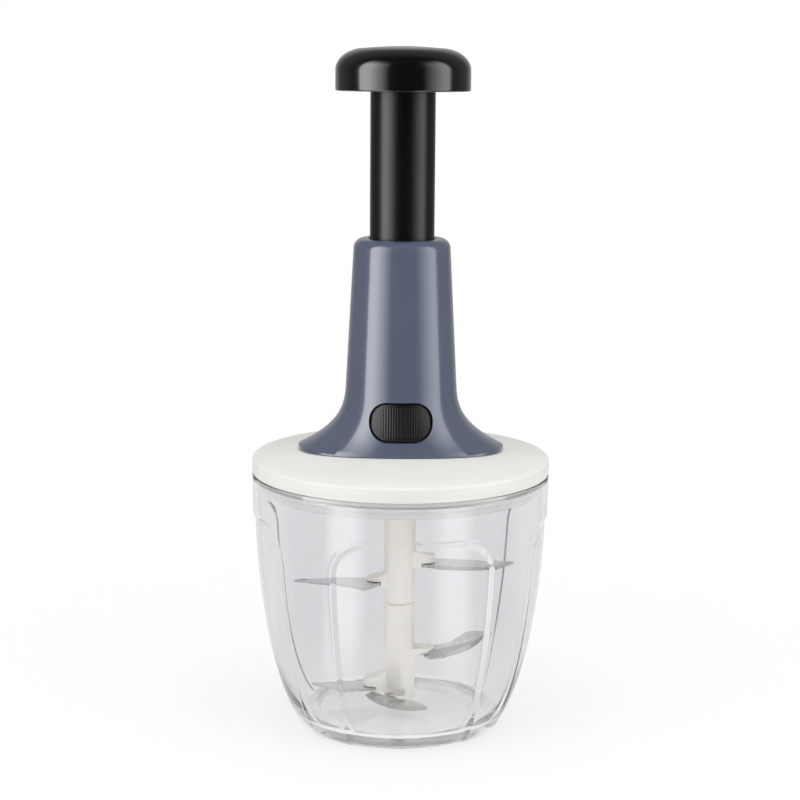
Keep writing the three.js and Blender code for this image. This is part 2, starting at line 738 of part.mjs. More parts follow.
// Plunger
function plungerTube() {
  const inner = tubeRadius - tubeWall;
  const tube = turned([
    [inner, tubeBottom], [tubeFlangeRadius, tubeBottom], [tubeFlangeRadius, tubeFlangeTop],
    [tubeRadius, tubeFlangeTop], [tubeRadius, tubeTop - tubeTopFlangeThickness],
    [tubeTopFlangeRadius, tubeTop - tubeTopFlangeThickness], [tubeTopFlangeRadius, tubeTop],
    [inner, tubeTop], [inner, tubeBottom],
  ]);
  const lugs = closed(new THREE.BoxGeometry(2 * lugReach, lugWidth, tubeFlangeThickness)
    .translate(0, 0, (tubeBottom + tubeFlangeTop) / 2));
  const lugInside = ring(0, inner, tubeBottom - overrun, tubeFlangeTop + overrun);
  const pilots = nutScrewPlaces((x, y) =>
    ring(0, nutScrewRadius * coreShare + seatGap, tubeBottom - overrun, tubeFlangeTop - seatGap, screwFacets)
      .translate(x, y, 0));
  return cut(joined(tube, lugs), lugInside, ...pilots);
}

// The two nut screws stand in front of and behind the tube's wall
function nutScrewPlaces(place) {
  const reach = (tubeRadius + tubeFlangeRadius) / 2;
  return [place(0, -reach), place(0, reach)];
}

const ceilingHeight = (r) => knobTop - knobWall - knobCrown * (r / (knobRadius - knobEdgeWidth)) ** 2;

function pressKnob() {
  const edgeZ = knobTop - knobCrown - knobEdgeHeight;
  const innerRadiusAtRim = knobRadius - knobWall;
  const hubBottomZ = tubeTop + seatGap;
  const stopZ = knobBottom + knobSpringStop;
  const springBore = tubeRadius - tubeWall;
  return turned([
    [0, stopZ], [springBore, stopZ], [springBore, hubBottomZ], [knobHubRadius, hubBottomZ],
    [knobHubRadius, ceilingHeight(knobHubRadius)],
    ...arc(knobRadius - knobEdgeWidth, edgeZ, knobEdgeWidth - knobWall, knobEdgeHeight - knobWall,
      quarter, 0),
    [innerRadiusAtRim, knobBottom],
    [knobRadius - knobRimRound, knobBottom], [knobRadius, knobBottom + knobRimRound],
    ...arc(knobRadius - knobEdgeWidth, edgeZ, knobEdgeWidth, knobEdgeHeight, 0, quarter, 2 * arcSteps),
    [(knobRadius - knobEdgeWidth) / 2, knobTop - knobCrown / 4],
    [0, knobTop],
  ]);
}

function knobBase() {
  const outer = knobRadius - knobWall - seatGap;
  return ring(tubeRadius + seatGap, outer, knobBottom + seatGap, knobBottom + seatGap + knobBaseThickness);
}

// The flat bar, twisted as it rises. Its cutter is grown, and longer by whole steps at both ends
function twistedStrip(grow, extraSteps) {
  const steps = barSteps + 2 * extraSteps;
  const bottom = barBottom - extraSteps * barStep;
  const [x, y] = [barWidth / 2 + grow, barThickness / 2 + grow];
  const corners = [[-x, -y], [0, -y], [x, -y], [x, y], [0, y], [-x, y]];
  const shape = new THREE.Shape(corners.map(([across, up]) => new THREE.Vector2(across, up)));
  const options = { depth: steps * barStep, steps, bevelEnabled: false };
  const geometry = new THREE.ExtrudeGeometry(shape, options).translate(0, 0, bottom);
  const position = geometry.attributes.position;
  const point = new THREE.Vector3();
  const axis = new THREE.Vector3(0, 0, 1);
  for (let i = 0; i < position.count; i += 1) {
    point.fromBufferAttribute(position, i);
    point.applyAxisAngle(axis, barTwist * (point.z - barBottom));
    position.setXYZ(i, point.x, point.y, point.z);
  }
  return closed(geometry);
}

const barCutter = () => twistedStrip(slotGap, 1);

// The cross pin runs through the dog and the bar, square to the bar's flat
function dogPinSolid(grow) {
  const height = barBottom + dogPinHeight;
  const length = neckRadius + dogRadius + 2 * grow;
  return closed(new THREE.CylinderGeometry(dogPinRadius + grow, dogPinRadius + grow, length, screwFacets)
    .rotateZ(barTwist * dogPinHeight).translate(0, 0, height));
}

function driveNut() {
  const flange = ring(0, tubeFlangeRadius - seatGap, nutBottom, nutFlangeTop);
  const spigot = ring(0, tubeRadius - tubeWall - seatGap, nutBottom, nutTop);
  const holes = nutScrewPlaces((x, y) =>
    ring(0, nutScrewRadius + seatGap, nutBottom - overrun, nutFlangeTop + overrun, screwFacets)
      .translate(x, y, 0));
  return cut(joined(flange, spigot), barCutter(), ...holes);
}

// One ratchet tooth: a wedge that falls clockwise from full height to nothing over one pitch
function toothWedge(i, root, height, lag) {
  const pitch = 2 * Math.PI / toothCount;
  const [from, to] = [-i * pitch - lag, -(i + 1) * pitch - lag];
  const corner = (radius, angle, z) => [radius * Math.cos(angle), radius * Math.sin(angle), z];
  const buried = root - Math.sign(height) * toothHeight / 2;
  const positions = [
    corner(toothInnerRadius, from, buried), corner(toothOuterRadius, from, buried),
    corner(toothInnerRadius, from, root + height), corner(toothOuterRadius, from, root + height),
    corner(toothInnerRadius, to, buried), corner(toothOuterRadius, to, buried),
    corner(toothInnerRadius, to, root), corner(toothOuterRadius, to, root),
  ].flat();
  const index = [
    0, 1, 3, 0, 3, 2, 4, 6, 7, 4, 7, 5, 0, 4, 5, 0, 5, 1,
    2, 3, 7, 2, 7, 6, 0, 2, 6, 0, 6, 4, 1, 5, 7, 1, 7, 3,
  ];
  const geometry = new THREE.BufferGeometry();
  geometry.setAttribute('position', new THREE.Float32BufferAttribute(positions, 3));
  geometry.setIndex(index);
  return closed(geometry);
}

const teeth = (root, height, lag) =>
  Array.from({ length: toothCount }, (_, i) => toothWedge(i, root, height, lag));

function driveDog() {
  const grooveBottom = clipBottom - seatGap / 2;
  const grooveTop = clipBottom + clipThickness + seatGap / 2;
  const body = turned([
    [0, dogToothRoot], [dogRadius, dogToothRoot], [dogRadius, dogShoulder], [neckRadius, dogShoulder],
    [neckRadius, grooveBottom], [neckRadius - clipGroove, grooveBottom],
    [neckRadius - clipGroove, grooveTop], [neckRadius, grooveTop], [neckRadius, neckTop], [0, neckTop],
  ], innerFacets);
  const hanging = teeth(-dogToothRoot, toothHeight, 0).map((tooth) => closed(tooth.rotateX(Math.PI)));
  return cut(joined(body, ...hanging), barCutter(), dogPinSolid(seatGap));
}

function driveSocket() {
  const flangeTop = socketFlangeBottom + socketFlangeThickness;
  const body = turned([
    [0, socketBottom], [socketJournalRadius, socketBottom], [socketJournalRadius, socketFlangeBottom],
    [socketFlangeRadius, socketFlangeBottom], [socketFlangeRadius, flangeTop], [dogRadius, flangeTop],
    [dogRadius, socketToothRoot], [0, socketToothRoot],
  ], innerFacets);
  const standing = teeth(socketToothRoot, toothHeight, toothLag);
  const recess = hexPrism(hexAcrossFlats + 2 * runGap, socketBottom - overrun, hubTop + hexReach + runGap);
  return cut(joined(body, ...standing), recess);
}

function hexPrism(acrossFlats, bottom, top) {
  return ring(0, acrossFlats / 2 / Math.cos(Math.PI / 6), bottom, top, 6);
}

function retainingClip() {
  const inner = neckRadius - clipGroove + seatGap;
  const washer = ring(inner, clipRadius, clipBottom, clipBottom + clipThickness, smallFacets);
  const mouth = closed(new THREE.BoxGeometry(clipRadius, clipMouth, 3 * clipThickness)
    .translate(clipRadius, 0, clipBottom));
  return cut(washer, mouth);
}

function springSeat() {
  const studTop = seatTop + seatStudHeight;
  const disc = turned([
    [0, seatBottom], [seatDiscRadius, seatBottom], [seatDiscRadius, seatTop], [seatStudRadius, seatTop],
    [seatStudRadius - seatStudTaper, studTop], [0, studTop],
  ], smallFacets);
  return cut(disc, barCutter());
}

// Lock button
function lockButton() {
  const nearY = -footHalfDepth - overrun;
  const inner = handleSolid(buttonInset);
  const cap = shared(frontal(windowShape(-buttonGap), nearY, 0), handleSolid(buttonSink));
  const flange = shared(frontal(windowShape(buttonFlange), nearY, 0), handleSolid(handleWall + runGap));
  const tongueSlot = tongueSolid(slotGap);
  const pockets = buttonSprings.map((place) => {
    const radius = buttonSpringRadius + buttonSpringWire + runGap;
    const pocket = ring(0, radius, 0, buttonSpringLength + runGap, screwFacets);
    return pocket.rotateX(quarter).translate(place.x, place.y, place.z);
  });
  return cut(joined(cap, flange), inner, tongueSlot, ...pockets);
}

// How far in front of the axis the button's back is, at a place across it and a height
const buttonInset = handleWall + runGap + buttonFlangeThickness;
function buttonBack(x, z) {
  const [halfLength, halfDepth] = handleRadii(z + buttonInset).map((radius) => radius - buttonInset);
  return halfDepth * Math.sqrt(1 - (x / halfLength) ** 2);
}

// The latch tongue reaches from inside the button to just short of the sleeve's bore
function tongueSolid(grow) {
  const nearY = -(buttonBack(0, tongueBottom) + tongueRoot) - grow;
  const farY = -(sleeveBore + seatGap);
  const shape = rectangle(
    tongueWidth + 2 * grow, tongueThickness + 2 * grow, tongueBottom + tongueThickness / 2);
  return frontal(shape, nearY, farY);
}

// The springs run from pockets in the button's back to the sleeve
const buttonSpringHeight = buttonHeight - buttonSpringDrop;
const springInnerReach = buttonSpringSpacing / 2 - buttonSpringRadius;
const sleeveDepthAtSpring = Math.sqrt(sleeveRadius ** 2 - springInnerReach ** 2);
const buttonSpringStart = sleeveDepthAtSpring + runGap;
const buttonSpringEnd = buttonBack(buttonSpringSpacing / 2, buttonSpringHeight) + buttonPocketDepth - runGap;
const buttonSpringLength = buttonSpringEnd - buttonSpringStart;
const buttonSprings = [-1, 1].map((side) =>
  new THREE.Vector3(side * buttonSpringSpacing / 2, -buttonSpringStart, buttonSpringHeight));

function buttonSpring() {
  const coil = coilSpring(buttonSpringRadius, buttonSpringWire, buttonSpringCurls,
    seatGap, buttonSpringLength - seatGap, 'button spring');
  return coil.rotateX(quarter);
}

// Rotor blades. Heights are shares of their hub's solid length, reaches of the bowl's inside radius there,
// depths of their own reach, and arms of the hub's radius. Each outline is drawn with the blade pointing
// along X, its cutting edge in front: shares of its reach and of its depth.
// Beyond its arm a blade rises by its bend.
const blades = [
  {
    name: 'blade_upper_right', hub: 'upper', heightShare: 0.255, turn: 0, roll: 0, bend: 0,
    reachShare: 0.8325, depthShare: 0.235, armHeightShare: 0.8, armReachShare: 2.23, gussetShare: 0.71,
    frontShares: [[0.26, -0.56], [0.35, -0.76], [0.5, -0.87], [0.69, -0.84], [0.84, -0.62]],
    backShares: [[0.95, 0.2], [0.76, 0.22], [0.55, 0.34], [0.32, 0.5]],
    tipShares: [1, 0.12],
  },
  {
    name: 'blade_upper_left', hub: 'upper', heightShare: 0.054, turn: Math.PI, roll: 0, bend: 0,
    reachShare: 0.781, depthShare: 0.254, armHeightShare: 0.51, armReachShare: 2.07, gussetShare: 0.43,
    frontShares: [[0.34, -0.45], [0.56, -0.5], [0.73, -0.42], [0.88, -0.2]],
    backShares: [[0.73, 0.4], [0.56, 0.55], [0.43, 0.82], [0.3, 1.1]],
    tipShares: [1, 0],
  },
  {
    name: 'blade_lower_right', hub: 'lower', heightShare: 0.477, turn: 0, roll: 0.2, bend: 0.5,
    reachShare: 0.712, depthShare: 0.256, armHeightShare: 0.61, armReachShare: 2.29, gussetShare: 0,
    frontShares: [[0.28, -0.4], [0.38, -0.58], [0.56, -0.79], [0.68, -0.91], [0.79, -0.95], [0.9, -0.76]],
    backShares: [[0.92, 0.12], [0.86, 0.32], [0.78, 0.54], [0.7, 0.46], [0.6, 0.27], [0.45, 0.27]],
    tipShares: [1, -0.25],
  },
  {
    name: 'blade_floor_left', hub: 'lower', heightShare: 0.118, turn: Math.PI - 0.1, roll: 0, bend: 0,
    reachShare: 0.819, depthShare: 0.225, armHeightShare: 0.83, armReachShare: 2.29, gussetShare: 0.57,
    frontShares: [[0.36, -0.5], [0.56, -0.62], [0.76, -0.5], [0.9, -0.2]],
    backShares: [[0.92, 0.36], [0.76, 0.62], [0.56, 0.8], [0.36, 0.75]],
    tipShares: [1, 0.08],
  },
  {
    name: 'blade_floor_front', hub: 'lower', heightShare: 0.072, turn: -2.2, roll: -0.08, bend: -0.16,
    reachShare: 0.3325, depthShare: 1.225, armHeightShare: 0, armReachShare: 0, gussetShare: 0,
    frontShares: [[0.47, -0.58], [0.73, -0.53], [0.86, -0.15], [0.9, 0.2], [0.8, 0.55], [0.6, 0.84]],
    backShares: [[0.28, 0.82], [0.27, 0.6], [0.36, 0.4]],
    tipShares: [0.36, 1.02],
  },
].map(sizedBlade);

function sizedBlade(blade) {
  const [bottom, top] = blade.hub === 'upper' ? [spigotBoreTop, hubTop] : [hubBottom, hubSeam];
  const height = bottom + (top - bottom) * blade.heightShare;
  const reach = innerRadius(height) * blade.reachShare;
  return {
    ...blade,
    height,
    reach,
    depth: reach * blade.depthShare,
    armHeight: hubRadius * blade.armHeightShare,
    armReach: hubRadius * blade.armReachShare,
    gusset: hubRadius * blade.gussetShare,
  };
}

const scaledPoints = (shares, blade) =>
  shares.map(([along, across]) => new THREE.Vector2(along * blade.reach, across * blade.depth));

// Closed outline, from the tang's front corner round the tip to its back corner
function bladeOutline(blade) {
  const halfTang = bladeTangWidth / 2;
  const front = scaledPoints(blade.frontShares, blade);
  const back = scaledPoints(blade.backShares, blade);
  const tip = scaledPoints([blade.tipShares], blade);
  const shoulderFront = new THREE.Vector2(bladeShoulder, -halfTang);
  const shoulderBack = new THREE.Vector2(bladeShoulder, halfTang);
  const frontEdge = new THREE.SplineCurve([shoulderFront, ...front, ...tip]).getPoints(bladeSteps);
  const backEdge = new THREE.SplineCurve([...tip, ...back, shoulderBack]).getPoints(bladeSteps);
  return [
    new THREE.Vector2(bladeTangStart, halfTang), new THREE.Vector2(bladeTangStart, -halfTang),
    ...frontEdge, ...backEdge.slice(1),
  ];
}

// Every corner of an outline moved square to its neighbours, outward when the distance is positive
function offsetOutline(points, distanceAt) {
  return points.map((point, i) => {
    const before = points[(i + points.length - 1) % points.length];
    const after = points[(i + 1) % points.length];
    const along = after.clone().sub(before).normalize();
    return new THREE.Vector2(along.y, -along.x).multiplyScalar(distanceAt(i)).add(point);
  });
}

// A plate whose two faces may differ from its outline, raised by a rise that depends on X
function plate(outline, lower, upper, half, riseAt) {
  const count = outline.length;
  const positions = [
    ...lower.flatMap((p) => [p.x, p.y, riseAt(p.x) - half]),
    ...upper.flatMap((p) => [p.x, p.y, riseAt(p.x) + half]),
  ];
  const index = [];
  THREE.ShapeUtils.triangulateShape(outline, []).forEach(([a, b, c]) => {
    index.push(a, c, b, a + count, b + count, c + count);
  });
  for (let i = 0; i < count; i += 1) {
    const j = (i + 1) % count;
    index.push(i, j, j + count, i, j + count, i + count);
  }
  const geometry = new THREE.BufferGeometry();
  geometry.setAttribute('position', new THREE.Float32BufferAttribute(positions, 3));
  geometry.setIndex(index);
  return closed(geometry);
}

const bladeRise = (blade) => (x) => blade.bend * Math.max(0, x - blade.armReach);

// The cutting edge is ground on its upper side, from past the tang to the tip
function bladePlate(blade) {
  const outline = bladeOutline(blade);
  const tangCorners = 2;
  const inset = (i) => (i > tangCorners + 1 && i < tangCorners + bladeSteps ? -bladeGrind : 0);
  return plate(outline, outline, offsetOutline(outline, inset), bladeThickness / 2, bladeRise(blade));
}

function bladeCutter(blade) {
  const outline = bladeOutline(blade);
  const grown = offsetOutline(outline, () => slotGap);
  return plate(outline, grown, grown, bladeThickness / 2 + slotGap, bladeRise(blade));
}

function bladeMesh(blade) {
  const mesh = piece(blade.name, bladePlate(blade), steel);
  mesh.rotation.set(blade.roll, 0, blade.turn, 'ZYX');
  mesh.position.z = blade.height;
  return mesh;
}

// The moulded arm that grips a blade's root, with a gusset up the hub
function armSolid(blade) {
  const bottom = blade.height - armBelow;
  const top = bottom + blade.armHeight;
  const side = new THREE.Shape();
  side.moveTo(0, bottom);
  side.lineTo(blade.armReach, bottom);
  side.lineTo(blade.armReach, top - armEdge);
  side.lineTo(blade.armReach - armEdge, top);
  side.quadraticCurveTo(hubRadius + blade.gusset / 2, top, hubRadius - overrun / 2, top + blade.gusset);
  side.lineTo(0, top + blade.gusset);
  const plan = roundedRectangle(2 * blade.armReach, armWidth, armCorner);
  const arm = shared(
    frontal(side, -armWidth, armWidth), raised(plan, bottom - overrun, top + blade.armHeight));
  return arm.rotateZ(blade.turn);
}

function hub(which, bottom, top) {
  const own = blades.filter((blade) => blade.hub === which);
  const arms = own.filter((blade) => blade.armReach > 0).map(armSolid);
  const tube = turned([
    [0, bottom], [hubRadius - hubChamfer, bottom], [hubRadius, bottom + hubChamfer],
    [hubRadius, top - hubChamfer], [hubRadius - hubChamfer, top], [0, top],
  ], innerFacets);
  const slots = own.map((blade) => placed(bladeCutter(blade), bladeMesh(blade)));
  return { body: joined(tube, ...arms), slots };
}

function upperHub() {
  const { body, slots } = hub('upper', hubSeam + seatGap, hubTop);
  const tenon = hexPrism(hexAcrossFlats, hubTop - overrun, hubTop + hexReach);
  const bore = ring(0, hubSpigotRadius + seatGap, hubSeam - overrun, spigotBoreTop, smallFacets);
  return cut(joined(body, tenon), bore, ...slots);
}

function lowerHub() {
  const { body, slots } = hub('lower', hubBottom, hubSeam);
  const spigot = ring(0, hubSpigotRadius, hubSeam - overrun, hubSeam + hubSpigotLength, smallFacets);
  const pinBoreTop = hubBottom + pinReach + runGap;
  const pinBore = ring(0, pinRadius + runGap, hubBottom - overrun, pinBoreTop, smallFacets);
  const reach = hubRadius + overrun;
  const floorBlade = blades.at(-1);
  const notch = raised(rectangle(notchSide + reach, reach - notchReach), floorBlade.height, notchTop)
    .translate((notchSide - reach) / 2, -(reach + notchReach) / 2, 0);
  return cut(joined(body, spigot), pinBore, notch, ...slots);
}

// Assembly
const chopper = new THREE.Group();
chopper.name = 'press_chopper';
const group = (name) => {
  const made = new THREE.Group();
  made.name = name;
  chopper.add(made);
  return made;
};

const bowlGroup = group('bowl_side');
bowlGroup.add(piece('bowl', bowl(), clearPlastic));
bowlGroup.add(piece('pivot_pin', pivotPin(), steel));

const rotor = group('rotor');
rotor.add(piece('upper_hub', upperHub(), creamPlastic));
rotor.add(piece('lower_hub', lowerHub(), creamPlastic));
blades.forEach((blade) => rotor.add(bladeMesh(blade)));

const head = group('head');
head.add(piece('lid', lid(), whitePlastic));
head.add(piece('lid_gasket', lidGasket(), silicone));
head.add(piece('clutch_cover', clutchCover(), acetal));
head.add(piece('handle_shell', handleShell(), blueGloss));
head.add(piece('collar_bush', collarBush(), blackSatin));
head.add(piece('guide_sleeve', guideSleeve(), acetal));
head.add(piece('clutch_plate', clutchPlate(), steel));

// Screws from below: three in the clutch cover, two in the sleeve, two in the handle
function addScrews(names, places, level) {
  names.forEach((name, i) => {
    const geometry = screw(screwCore, screwHeadRadius, screwHeadHeight, screwLength);
    const mesh = piece(name, geometry, steel);
    mesh.position.set(places[i][0], places[i][1], level);
    head.add(mesh);
  });
}

const coverPlaces = onCircle(coverScrewCount, coverScrewCircle, (x, y) => [x, y]);
addScrews(coverPlaces.map((_, i) => `cover_screw_${i + 1}`), coverPlaces, coverBottom - seatGap);
const sleevePlaces = [[-sleeveScrewReach, 0], [sleeveScrewReach, 0]];
addScrews(['sleeve_screw_left', 'sleeve_screw_right'], sleevePlaces, lidPadTop - lidWall - seatGap);
const handlePlaces = [[-handleScrewReach, 0], [handleScrewReach, 0]];
addScrews(['handle_screw_left', 'handle_screw_right'], handlePlaces, handleScrewSeat - seatGap);

const plunger = group('plunger');
plunger.add(piece('press_knob', pressKnob(), blackSatin));
plunger.add(piece('knob_base', knobBase(), blackSatin));
plunger.add(piece('plunger_tube', plungerTube(), blackSatin));
plunger.add(piece('drive_nut', driveNut(), acetal));
nutScrewPlaces((x, y) => {
  const name = y < 0 ? 'nut_screw_front' : 'nut_screw_back';
  const geometry = screw(nutScrewRadius * coreShare, nutScrewHeadRadius, nutScrewHeadHeight, nutScrewLength);
  const mesh = piece(name, geometry, steel);
  mesh.position.set(x, y, nutBottom - seatGap);
  plunger.add(mesh);
});
plunger.add(piece('return_spring',
  coilSpring(springRadius, springWire, springCurls, seatTop + seatGap, springTop, 'return spring'), steel));

const bar = group('bar');
bar.add(piece('twisted_bar', cut(twistedStrip(0, 0), dogPinSolid(seatGap)), steel));
bar.add(piece('spring_seat', springSeat(), acetal));
bar.add(piece('drive_dog', driveDog(), acetal));
bar.add(piece('dog_pin', dogPinSolid(0), steel));
bar.add(piece('retaining_clip', retainingClip(), steel));

const socket = group('socket');
socket.add(piece('drive_socket', driveSocket(), acetal));

const button = group('button');
button.add(piece('lock_button', lockButton(), buttonBlack));
button.add(piece('latch_tongue', tongueSolid(0), steel));
['button_spring_left', 'button_spring_right'].forEach((name, i) => {
  const mesh = piece(name, buttonSpring(), steel);
  mesh.position.copy(buttonSprings[i]);
  button.add(mesh);
});

export default chopper;
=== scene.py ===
import json
import math

import bmesh
import bpy
from mathutils import Matrix, Vector


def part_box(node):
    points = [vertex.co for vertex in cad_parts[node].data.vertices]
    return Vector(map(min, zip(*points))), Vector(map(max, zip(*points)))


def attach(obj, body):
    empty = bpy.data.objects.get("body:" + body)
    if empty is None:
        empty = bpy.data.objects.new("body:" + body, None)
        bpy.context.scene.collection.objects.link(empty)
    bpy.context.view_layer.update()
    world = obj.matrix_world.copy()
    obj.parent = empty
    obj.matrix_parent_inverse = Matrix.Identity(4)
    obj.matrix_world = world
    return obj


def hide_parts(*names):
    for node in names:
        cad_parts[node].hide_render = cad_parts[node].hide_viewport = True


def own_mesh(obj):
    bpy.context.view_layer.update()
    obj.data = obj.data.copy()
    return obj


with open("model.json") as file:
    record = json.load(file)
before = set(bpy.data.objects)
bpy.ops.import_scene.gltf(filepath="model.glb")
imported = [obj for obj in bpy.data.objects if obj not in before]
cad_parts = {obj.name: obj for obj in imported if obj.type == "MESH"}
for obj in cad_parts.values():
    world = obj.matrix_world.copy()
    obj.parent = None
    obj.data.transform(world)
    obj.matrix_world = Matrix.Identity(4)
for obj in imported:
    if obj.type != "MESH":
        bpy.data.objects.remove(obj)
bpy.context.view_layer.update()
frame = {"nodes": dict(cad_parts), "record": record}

# Lengths below are in millimetres, and one factor brings them to metres
MM = 0.001
WELD = 0.002
QUARTER = math.pi / 2

# Facets of round pieces
ROUND_SEGMENTS = 96
FINE_SEGMENTS = 2 * ROUND_SEGMENTS
SMALL_SEGMENTS = 32
SMALL_ARC_STEPS = 4
ARC_STEPS = 8
CORNER_STEPS = 12
WIDE_ARC_STEPS = 24

# Angles in degrees from which an edge stays sharp, and below which two facets count as one
CREASE = 35
BOWL_CREASE = 50
HUB_CREASE = 40
BLADE_CREASE = 12
SOFT_CREASE = 60
FLAT_ANGLE = 0.5

# How far small edges are cut off, from a hard edge to a soft one, and the gap between seated pieces
SCREW_EDGE = 0.12
HARD_EDGE = 0.15
FINE_EDGE = 0.3
WINDOW_EDGE = 0.35
SOFT_EDGE = 0.4
PIECE_GAP = 0.2

# Bowl
BOWL_HEIGHT = 112.8
BOWL_RIM = 65.0
BOWL_FOOT = 44.2
BOWL_WALL = 2.2
BOWL_FLOOR = 5.3
FLOOR_RADIUS = 41.6
RISE_SHARE = 2.19
OUTER_SHARE = 0.667
INNER_SHARE = 0.55
RIM_ROUND = 0.35
RIM_ARC_START = 0.2
FOOT_RING = 7.0
FOOT_RECESS = 1.0
FOOT_ROUND = 0.5
DISH_RADIUS = 37.5
DISH_DEPTH = 0.7
DISH_LIP = 0.8
DISH_FILLET = 0.1
BOSS_RADIUS = 5.0
BOSS_HEIGHT = 2.2
BOSS_FILLET = 1.2
PIN_HOLE_RADIUS = 2.2
PIN_HOLE_DEPTH = 4.5
PANELS = 4
PANEL_DEPTH = 0.8
PANEL_TOP = 94.0
PANEL_CORNER = 14.0
PANEL_HALF_ANGLE = math.radians(31.2)
PANEL_TURN = math.radians(5.7)
PANEL_STEP = 2.8
BORDER_SPREAD = math.radians(2.6)
BEAD_HEIGHT = 0.15
BEAD_WIDTH = 0.9

# Rows of facets up the bowl's wall: below the panels' corners, along them, above them and inside.
# Columns across a panel, and along each of its borders
WALL_ROWS = 64
WALL_CROWDING = 1.5
CORNER_ROWS = 36
RIM_ROWS = 8
INNER_ROWS = 40
PANEL_COLUMNS = 42
BORDER_COLUMNS = 18

# Lid
LID_SEAT = 113.1
LID_RADIUS = 65.0
LID_EDGE = 119.4
LID_EDGE_ROUND = 1.1
LID_EDGE_TURN = 0.86 * QUARTER
LID_SEAT_ROUND = 0.25
LID_SEAT_FLAT = 0.1
LID_RISE = 6.6
LID_POWER = 1.6
LID_WALL = 2.4
LID_PAD_RADIUS = 24.6
LID_PAD_TOP = 126.2
DOME_RADIUS = 63.6
DOME_UNDER_SHARES = (0.5, 0.6, 0.7, 0.8, 0.9, 1)
DOME_OVER_SHARES = (0.97, 0.9, 0.8, 0.7, 0.6, 0.5)
PLUG_RADIUS = 61.0
PLUG_WALL = 2.0
PLUG_BOTTOM = 105.4
WELL_RADIUS = 15.0
WELL_WALL = 2.0
WELL_BOTTOM = 107.0
GASKET_BOTTOM = 108.0
GASKET_HEIGHT = 2.4
GASKET_ROOT = 60.0
GASKET_LIP_REACH = 0.5
GASKET_LIP_ROUND = 0.1
GASKET_LIP_HEIGHTS = (0.2, 0.45, 0.65)

# Handle
HANDLE_TOP = 214.9
HANDLE_TOP_RADIUS = 20.7
HANDLE_SHOULDER = 4.2
HANDLE_WALL = 2.4
HANDLE_TAPER = 0.0542
FLARE_START = 152.0
FLARE_END = 124.3
FOOT_LENGTH = 44.9
FOOT_DEPTH = 30.4
LENGTH_CURVE = 2.9
DEPTH_CURVE = 1.6
SEAT_GAP = 0.3
HANDLE_HOLE_GAP = 0.6
FLARE_ROWS = 28
FLARE_CROWDING = 0.8
STRAIGHT_ROWS = 14

# Bosses and screw holes in the lid and the handle
COVER_SCREWS = 3
COVER_CIRCLE = 20.0
COVER_BOSS_RADIUS = 3.2
COVER_HOLE_TOP = 116.8
HANDLE_SCREW_REACH = 31.5
HANDLE_SCREW_SEAT = 119.5
HANDLE_PAD_RADIUS = 3.8
HANDLE_BOSS_RADIUS = 3.3
HANDLE_BOSS_TOP = 130.0
SLEEVE_SCREW_REACH = 21.2
SCREW_HOLE_RADIUS = 1.4
PILOT_RADIUS = 1.25
CUT_OVERRUN = 3.0

# Lock button
BUTTON_HEIGHT = 138.7
WINDOW_WIDTH = 27.2
WINDOW_HEIGHT = 16.8
WINDOW_CORNER = 8.0
BUTTON_GAP = 0.4
BUTTON_SINK = 0.9
BUTTON_THICKNESS = 2.0
BUTTON_CROWN = 0.6
BUTTON_EDGE_WIDTH = 0.6
BUTTON_EDGE_DROP = 0.5
BUTTON_COLUMNS = 220
BUTTON_ROWS = 24
SIDE_CROWDING = 0.15
RIB_PITCH = 1.1
RIB_DEPTH = 0.11
RIB_MARGIN = 0.8
RIB_FADE = 4.0
RIBBED_HALF_WIDTH = 9.5

# Plunger
TUBE_RADIUS = 13.9
TUBE_WALL = 2.2
KNOB_BOTTOM = 277.3
KNOB_TOP = 296.0
KNOB_RADIUS = 28.8
KNOB_EDGE_WIDTH = 12.8
KNOB_EDGE_HEIGHT = 9.2
KNOB_CROWN = 0.8
KNOB_CROWN_SHARES = (0.8, 0.6, 0.4, 0.2)
KNOB_WALL = 2.6
KNOB_RIM_ROUND = 0.7
KNOB_SPRING_STOP = 8.7
KNOB_HUB_RADIUS = 17.2
KNOB_HUB_BOTTOM = 282.4

# The hollow in the knob: how far its ceiling lies under the top, and how the ceiling curves down
HOLLOW_CEILING = 4.0
HOLLOW_CURVE = 6.0
HOLLOW_SLOPE = 0.4
HOLLOW_CORNER = 2.0

# Springs
RETURN_WIRE = 0.6
RETURN_CURLS = 13
BUTTON_WIRE = 0.25
BUTTON_CURLS = 3
CURL_STEPS = 48
WIRE_SIDES = 10

# Finishes. Depths are in millimetres. The clear plastic is frosted under the bowl, from one height down
CLOUD_SPREAD = 0.06
GLOSS_SPREAD = 0.25
FINE_SHARE = 0.7
COAT_ROUGHNESS = 0.06
CLEAR_DARK = (0.832, 0.836, 0.848)
CLEAR_LIGHT = (0.870, 0.873, 0.884)
CLEAR_ROUGHNESS = 0.035
SCRATCH_RANGE = (0.58, 0.9)
SCRATCH_ROUGHNESS = 0.06
CLEAR_COAT_ROUGHNESS = 0.04
CLEAR_IOR = 1.24
FLOW_DEPTH = 0.05
FLOW_STRENGTH = 0.6
FROST_TOP = 1.6
FROST_FULL = 1.1
FROST_ROUGHNESS = 0.4
LINE_SHARE = 0.6
LINE_SHADES = (0.8, 1.15)
LINE_GLOSS_SPREAD = 0.4
LINE_DEPTH = 0.012

# Camera, found from the photo's outline: place in metres, angles in degrees, focal length in pixels
CAMERA_PLACE = (-0.00043, -0.790, 0.2908)
CAMERA_TILT = 10.53
CAMERA_ROLL = 0.40
FOCAL_PIXELS = 1837
PHOTO_PIXELS = 800
SENSOR_WIDTH = 36
CLIP_START = 0.01

